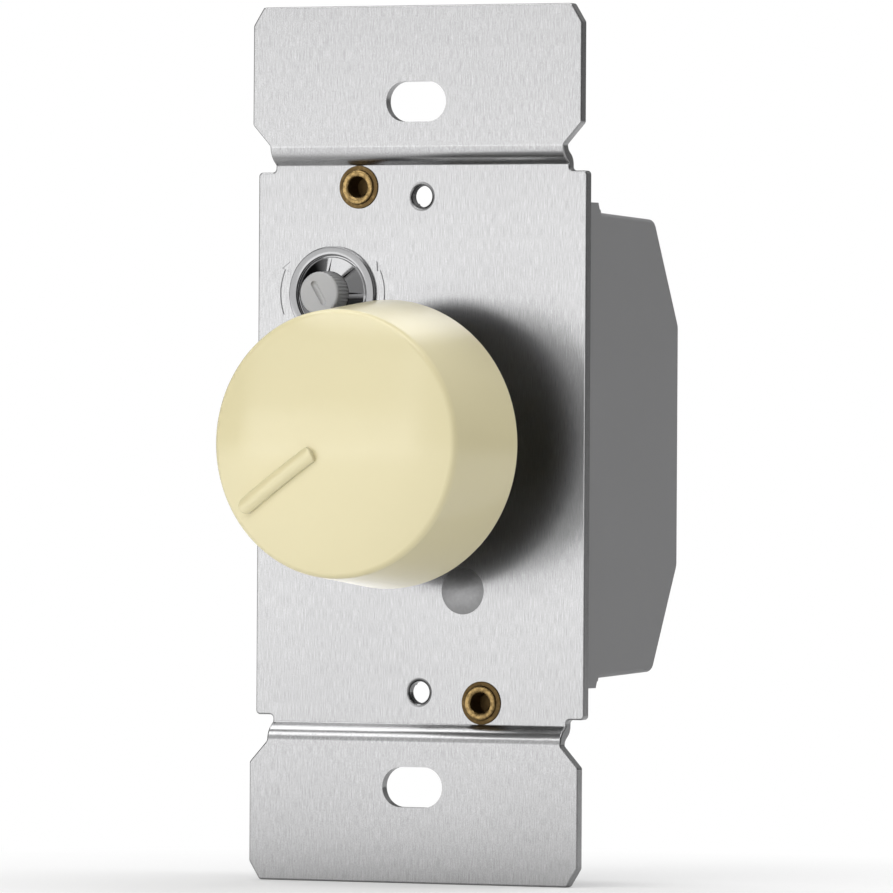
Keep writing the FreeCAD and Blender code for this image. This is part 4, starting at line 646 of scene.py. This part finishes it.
pair_pattern, given, gives = new_group(
    "Copies from end to end", "GeometryNodeTree",
    {"Piece": "NodeSocketGeometry", "Count": "NodeSocketInt", "First": "NodeSocketVector",
     "Last": "NodeSocketVector", "Finish": "NodeSocketMaterial"},
    {"Pieces": "NodeSocketGeometry"})
step = put(pair_pattern, "ShaderNodeVectorMath", {0: given["Last"], 1: given["First"]}, operation="SUBTRACT")
gaps = put(pair_pattern, "ShaderNodeMath", {0: given["Count"], 1: 1.0}, operation="SUBTRACT")
share = put(pair_pattern, "ShaderNodeMath", {0: 1.0, 1: gaps.outputs[0]}, operation="DIVIDE")
step = put(pair_pattern, "ShaderNodeVectorMath", {0: step.outputs[0], "Scale": share.outputs[0]},
           operation="SCALE")
points = put(pair_pattern, "GeometryNodeMeshLine",
             {"Count": given["Count"], "Start Location": given["First"], "Offset": step.outputs[0]})
copies = put(pair_pattern, "GeometryNodeInstanceOnPoints",
             {"Points": points.outputs["Mesh"], "Instance": given["Piece"]})
real = put(pair_pattern, "GeometryNodeRealizeInstances", {"Geometry": copies.outputs["Instances"]})
coated = put(pair_pattern, "GeometryNodeSetMaterial",
             {"Geometry": real.outputs["Geometry"], "Material": given["Finish"]})
pair_pattern.links.new(coated.outputs["Geometry"], gives["Pieces"])

low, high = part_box("housing_rivets")
reach = RIVET_HEAD * MM
rivets = grown(turned("brass_rivets", rivet_outline(), RIVET_STEPS), pair_pattern, {
    "Count": 2, "First": (low.x + reach, 0.0, high.z - reach), "Last": (high.x - reach, 0.0, low.z + reach),
    "Finish": brass})
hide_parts("housing_rivets")
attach(rivets, "switch_frame")


# Knob: a hollow ivory moulding with a raised pointer on its domed face. It pushes on to the
# shaft's flat, held by a strip of spring steel in its hub.
IVORY = (0.69, 0.622, 0.382)
KNOB_PAINTED_MIRROR_SHADE = 0.5
ivory, tree, surface, place = new_finish("ivory moulding", IVORY, 0.12)
surface["IOR"].default_value = 1.5
flow = put(tree, "ShaderNodeTexNoise", {"Vector": place, "Scale": 55.0, "Detail": 2.0}).outputs["Fac"]
peel = put(tree, "ShaderNodeTexNoise", {"Vector": place, "Scale": 900.0, "Detail": 1.0}).outputs["Fac"]
worn = use(tree, handling, {"Place": place, "Patches per metre": 110.0})["Smudge"]
# Mirrored in the plate, the knob is painted greyer and darker than its own ivory: painted shade that only
# glossy rays see, darkening the knob's reflection on the plate beside it.
mirrored = put(tree, "ShaderNodeLightPath").outputs["Is Glossy Ray"]
body = put(tree, "ShaderNodeMix", {"Factor": mirrored}, data_type="RGBA")
tree.links.new(tint(tree, flow, shade(IVORY, 0.97), shade(IVORY, 1.03)), body.inputs["A"])
body.inputs["B"].default_value = (*shade((1.0, 1.0, 1.0), KNOB_PAINTED_MIRROR_SHADE), 1.0)
tree.links.new(body.outputs["Result"], surface["Base Color"])
tree.links.new(spread(tree, worn, 0.14, 0.19), surface["Roughness"])
tree.links.new(rise(tree, peel, 0.004 * MM), surface["Normal"])
dress("knob", ivory)
dress("knob_spring", drawn_metal("spring strip", (0.58, 0.58, 0.60), 0.25, ALONG_Y))


# Studio: a pale floor that the lower ear stands on, and white beyond. Two boxes at the front left
# and one at the front right stand in the plate's mirror, and a strip high at the front in the
# ring's. The far floor is burnt out to white, as the wall is.
FLOOR_RADIUS = 4.0
FLOOR_CLEAR = 0.02 * MM
WHITE_FROM = 0.03
WHITE_AT = 0.12
FLOOR_PAINTED_MIRROR_GLOW = 2.3
FLOOR_AHEAD = (-0.44, -0.9, 0.0)
ACROSS_FRONT = (0.91, -0.41, 0.0)

floor_form = bmesh.new()
bmesh.ops.create_circle(floor_form, cap_ends=True, segments=64, radius=FLOOR_RADIUS)
for vert in floor_form.verts:
    vert.co.z = cad_box[0][2] - FLOOR_CLEAR
floor = finished("floor", floor_form)
pale, tree, surface, place = new_finish("pale floor", (0.78, 0.78, 0.78), 0.6)
away = put(tree, "ShaderNodeVectorMath", {0: place}, operation="LENGTH").outputs["Value"]
burnt = put(tree, "ShaderNodeMapRange", {"Value": away, "From Min": WHITE_FROM, "From Max": WHITE_AT})
# The camera sees the whole far floor burnt out. A mirroring piece sees it glow only where the two
# boxes at the front left would light it, and brighter than white: a painted pool of light.
ray = put(tree, "ShaderNodeLightPath").outputs
ahead = put(tree, "ShaderNodeVectorMath", {0: place}, operation="NORMALIZE").outputs[0]
ahead = put(tree, "ShaderNodeVectorMath", {0: ahead, 1: FLOOR_AHEAD},
            operation="DOT_PRODUCT").outputs["Value"]
ahead = put(tree, "ShaderNodeMapRange",
            {"Value": ahead, "From Min": 0.62, "From Max": 0.96}).outputs["Result"]
seen = put(tree, "ShaderNodeMath", {0: ray["Is Glossy Ray"], 1: ahead, 2: ray["Is Camera Ray"]},
           operation="MULTIPLY_ADD")
burnt = put(tree, "ShaderNodeMath", {0: burnt.outputs[0], 1: seen.outputs[0]}, operation="MULTIPLY")
white = put(tree, "ShaderNodeMapRange",
            {"Value": ray["Is Glossy Ray"], "To Min": 1.0, "To Max": FLOOR_PAINTED_MIRROR_GLOW})
glow = put(tree, "ShaderNodeEmission", {"Color": (1.0, 1.0, 1.0, 1.0), "Strength": white.outputs[0]})
both = put(tree, "ShaderNodeMixShader", {0: burnt.outputs[0], 1: tree.nodes["Principled BSDF"].outputs[0],
                                         2: glow.outputs[0]})
tree.links.new(both.outputs[0], tree.nodes["Material Output"].inputs["Surface"])
floor.data.materials.append(pale)


def light_box(name, azimuth, elevation, distance, width, height, radiance, mirrored=True, lit=True):
    """A rectangle of light that faces the object from that side, azimuth 0 being the front."""
    turn, tilt = math.radians(azimuth), math.radians(elevation)
    toward = Vector((math.sin(turn) * math.cos(tilt), -math.cos(turn) * math.cos(tilt), math.sin(tilt)))
    light = bpy.data.lights.new(name, "AREA")
    light.shape = "RECTANGLE"
    light.size, light.size_y = width, height
    light.energy = radiance * math.pi * width * height
    lamp = bpy.data.objects.new(name, light)
    lamp.location = toward * distance
    lamp.rotation_euler = toward.to_track_quat("Z", "Y").to_euler()
    lamp.visible_glossy, lamp.visible_diffuse = mirrored, lit
    bpy.context.scene.collection.objects.link(lamp)


light_box("front left box", -26, -1.5, distance=1.0, width=1.0, height=0.33, radiance=1.5)
light_box("front sheet", -26, 3, distance=1.2, width=1.2, height=1.0, radiance=0.85)
light_box("top strip", -21, 39, distance=1.0, width=0.66, height=0.34, radiance=4.0)
light_box("overhead strip", -26, 72, distance=0.9, width=1.3, height=0.3, radiance=4.5, lit=False)
light_box("overhead box", 180, 68, distance=0.9, width=1.3, height=0.3, radiance=6.0, mirrored=False)
light_box("right sheet", 22, 6, distance=1.2, width=1.2, height=1.3, radiance=0.85)
light_box("right fill", 75, 58, distance=1.2, width=0.9, height=0.9, radiance=0.6, mirrored=False)

world = bpy.data.worlds.new("white studio")
bpy.context.scene.world = world
world.use_nodes = True
tree = world.node_tree
# The room is brightest overhead and dim at the far left, the far right and behind, but the camera
# sees it white all round.
direction = put(tree, "ShaderNodeTexCoord").outputs["Generated"]
ways = put(tree, "ShaderNodeSeparateXYZ", {"Vector": direction}).outputs
from_above = put(tree, "ShaderNodeMapRange", {"Value": ways["Z"], "From Min": -0.3, "From Max": 0.9,
                                              "To Min": 0.15, "To Max": 0.65}).outputs["Result"]
off_plane = put(tree, "ShaderNodeVectorMath", {0: direction, 1: ACROSS_FRONT},
                operation="DOT_PRODUCT").outputs["Value"]
lit_left = put(tree, "ShaderNodeMapRange", {"Value": off_plane, "From Min": -0.55, "From Max": -0.35,
                                            "To Min": 0.04, "To Max": 1.0}).outputs["Result"]
lit_right = put(tree, "ShaderNodeMapRange", {"Value": off_plane, "From Min": 0.35, "From Max": 0.6,
                                             "To Min": 1.0, "To Max": 0.25}).outputs["Result"]
kept = put(tree, "ShaderNodeMath", {0: lit_left, 1: lit_right}, operation="MULTIPLY").outputs[0]
from_front = put(tree, "ShaderNodeMath", {0: from_above, 1: kept}, operation="MULTIPLY").outputs[0]
from_behind = put(tree, "ShaderNodeMapRange", {"Value": ways["Y"], "From Min": -0.02, "From Max": 0.2,
                                               "To Min": 0.0, "To Max": 0.22}).outputs["Result"]
strength = put(tree, "ShaderNodeMath", {0: from_front, 1: from_behind}, operation="MAXIMUM").outputs[0]
seen = put(tree, "ShaderNodeLightPath").outputs["Is Camera Ray"]
strength = put(tree, "ShaderNodeMix", {"Factor": seen, "A": strength, "B": 1.0}).outputs["Result"]
tree.links.new(strength, tree.nodes["Background"].inputs["Strength"])
tree.nodes["Background"].inputs["Color"].default_value = (1.0, 1.0, 1.0, 1.0)


# Camera: level with the knob and well to the right of it. It stands far off with a long lens, so
# the plate's upright edges look parallel.
CAMERA_TURN = math.radians(26.206)
CAMERA_TILT = math.radians(0.032)
CAMERA_ROLL = math.radians(0.332)
CAMERA_DISTANCE = 1.2448
CAMERA_AIM = Vector((0.0, -0.00038, 0.0))
SENSOR_WIDTH = 36.0
LENS = 412.7
SHIFT = (0.0312, -0.0024)

back = Vector((math.sin(CAMERA_TURN) * math.cos(CAMERA_TILT), -math.cos(CAMERA_TURN) * math.cos(CAMERA_TILT),
               math.sin(CAMERA_TILT)))
right = Vector((math.cos(CAMERA_TURN), math.sin(CAMERA_TURN), 0.0))
up = back.cross(right)
rolled_right = right * math.cos(CAMERA_ROLL) + up * math.sin(CAMERA_ROLL)
camera_data = bpy.data.cameras.new("camera")
camera_data.sensor_width = SENSOR_WIDTH
camera_data.lens = LENS
camera_data.shift_x, camera_data.shift_y = SHIFT
camera = bpy.data.objects.new("camera", camera_data)
camera.location = CAMERA_AIM + back * CAMERA_DISTANCE
camera.rotation_mode = "QUATERNION"
turned_view = back.to_track_quat("Z", "Y").to_matrix()
turned_view.col[0] = rolled_right
turned_view.col[1] = back.cross(rolled_right)
turned_view.col[2] = back
camera.rotation_quaternion = turned_view.to_quaternion()
bpy.context.scene.collection.objects.link(camera)
bpy.context.scene.camera = camera
bpy.context.scene.view_settings.view_transform = "Standard"
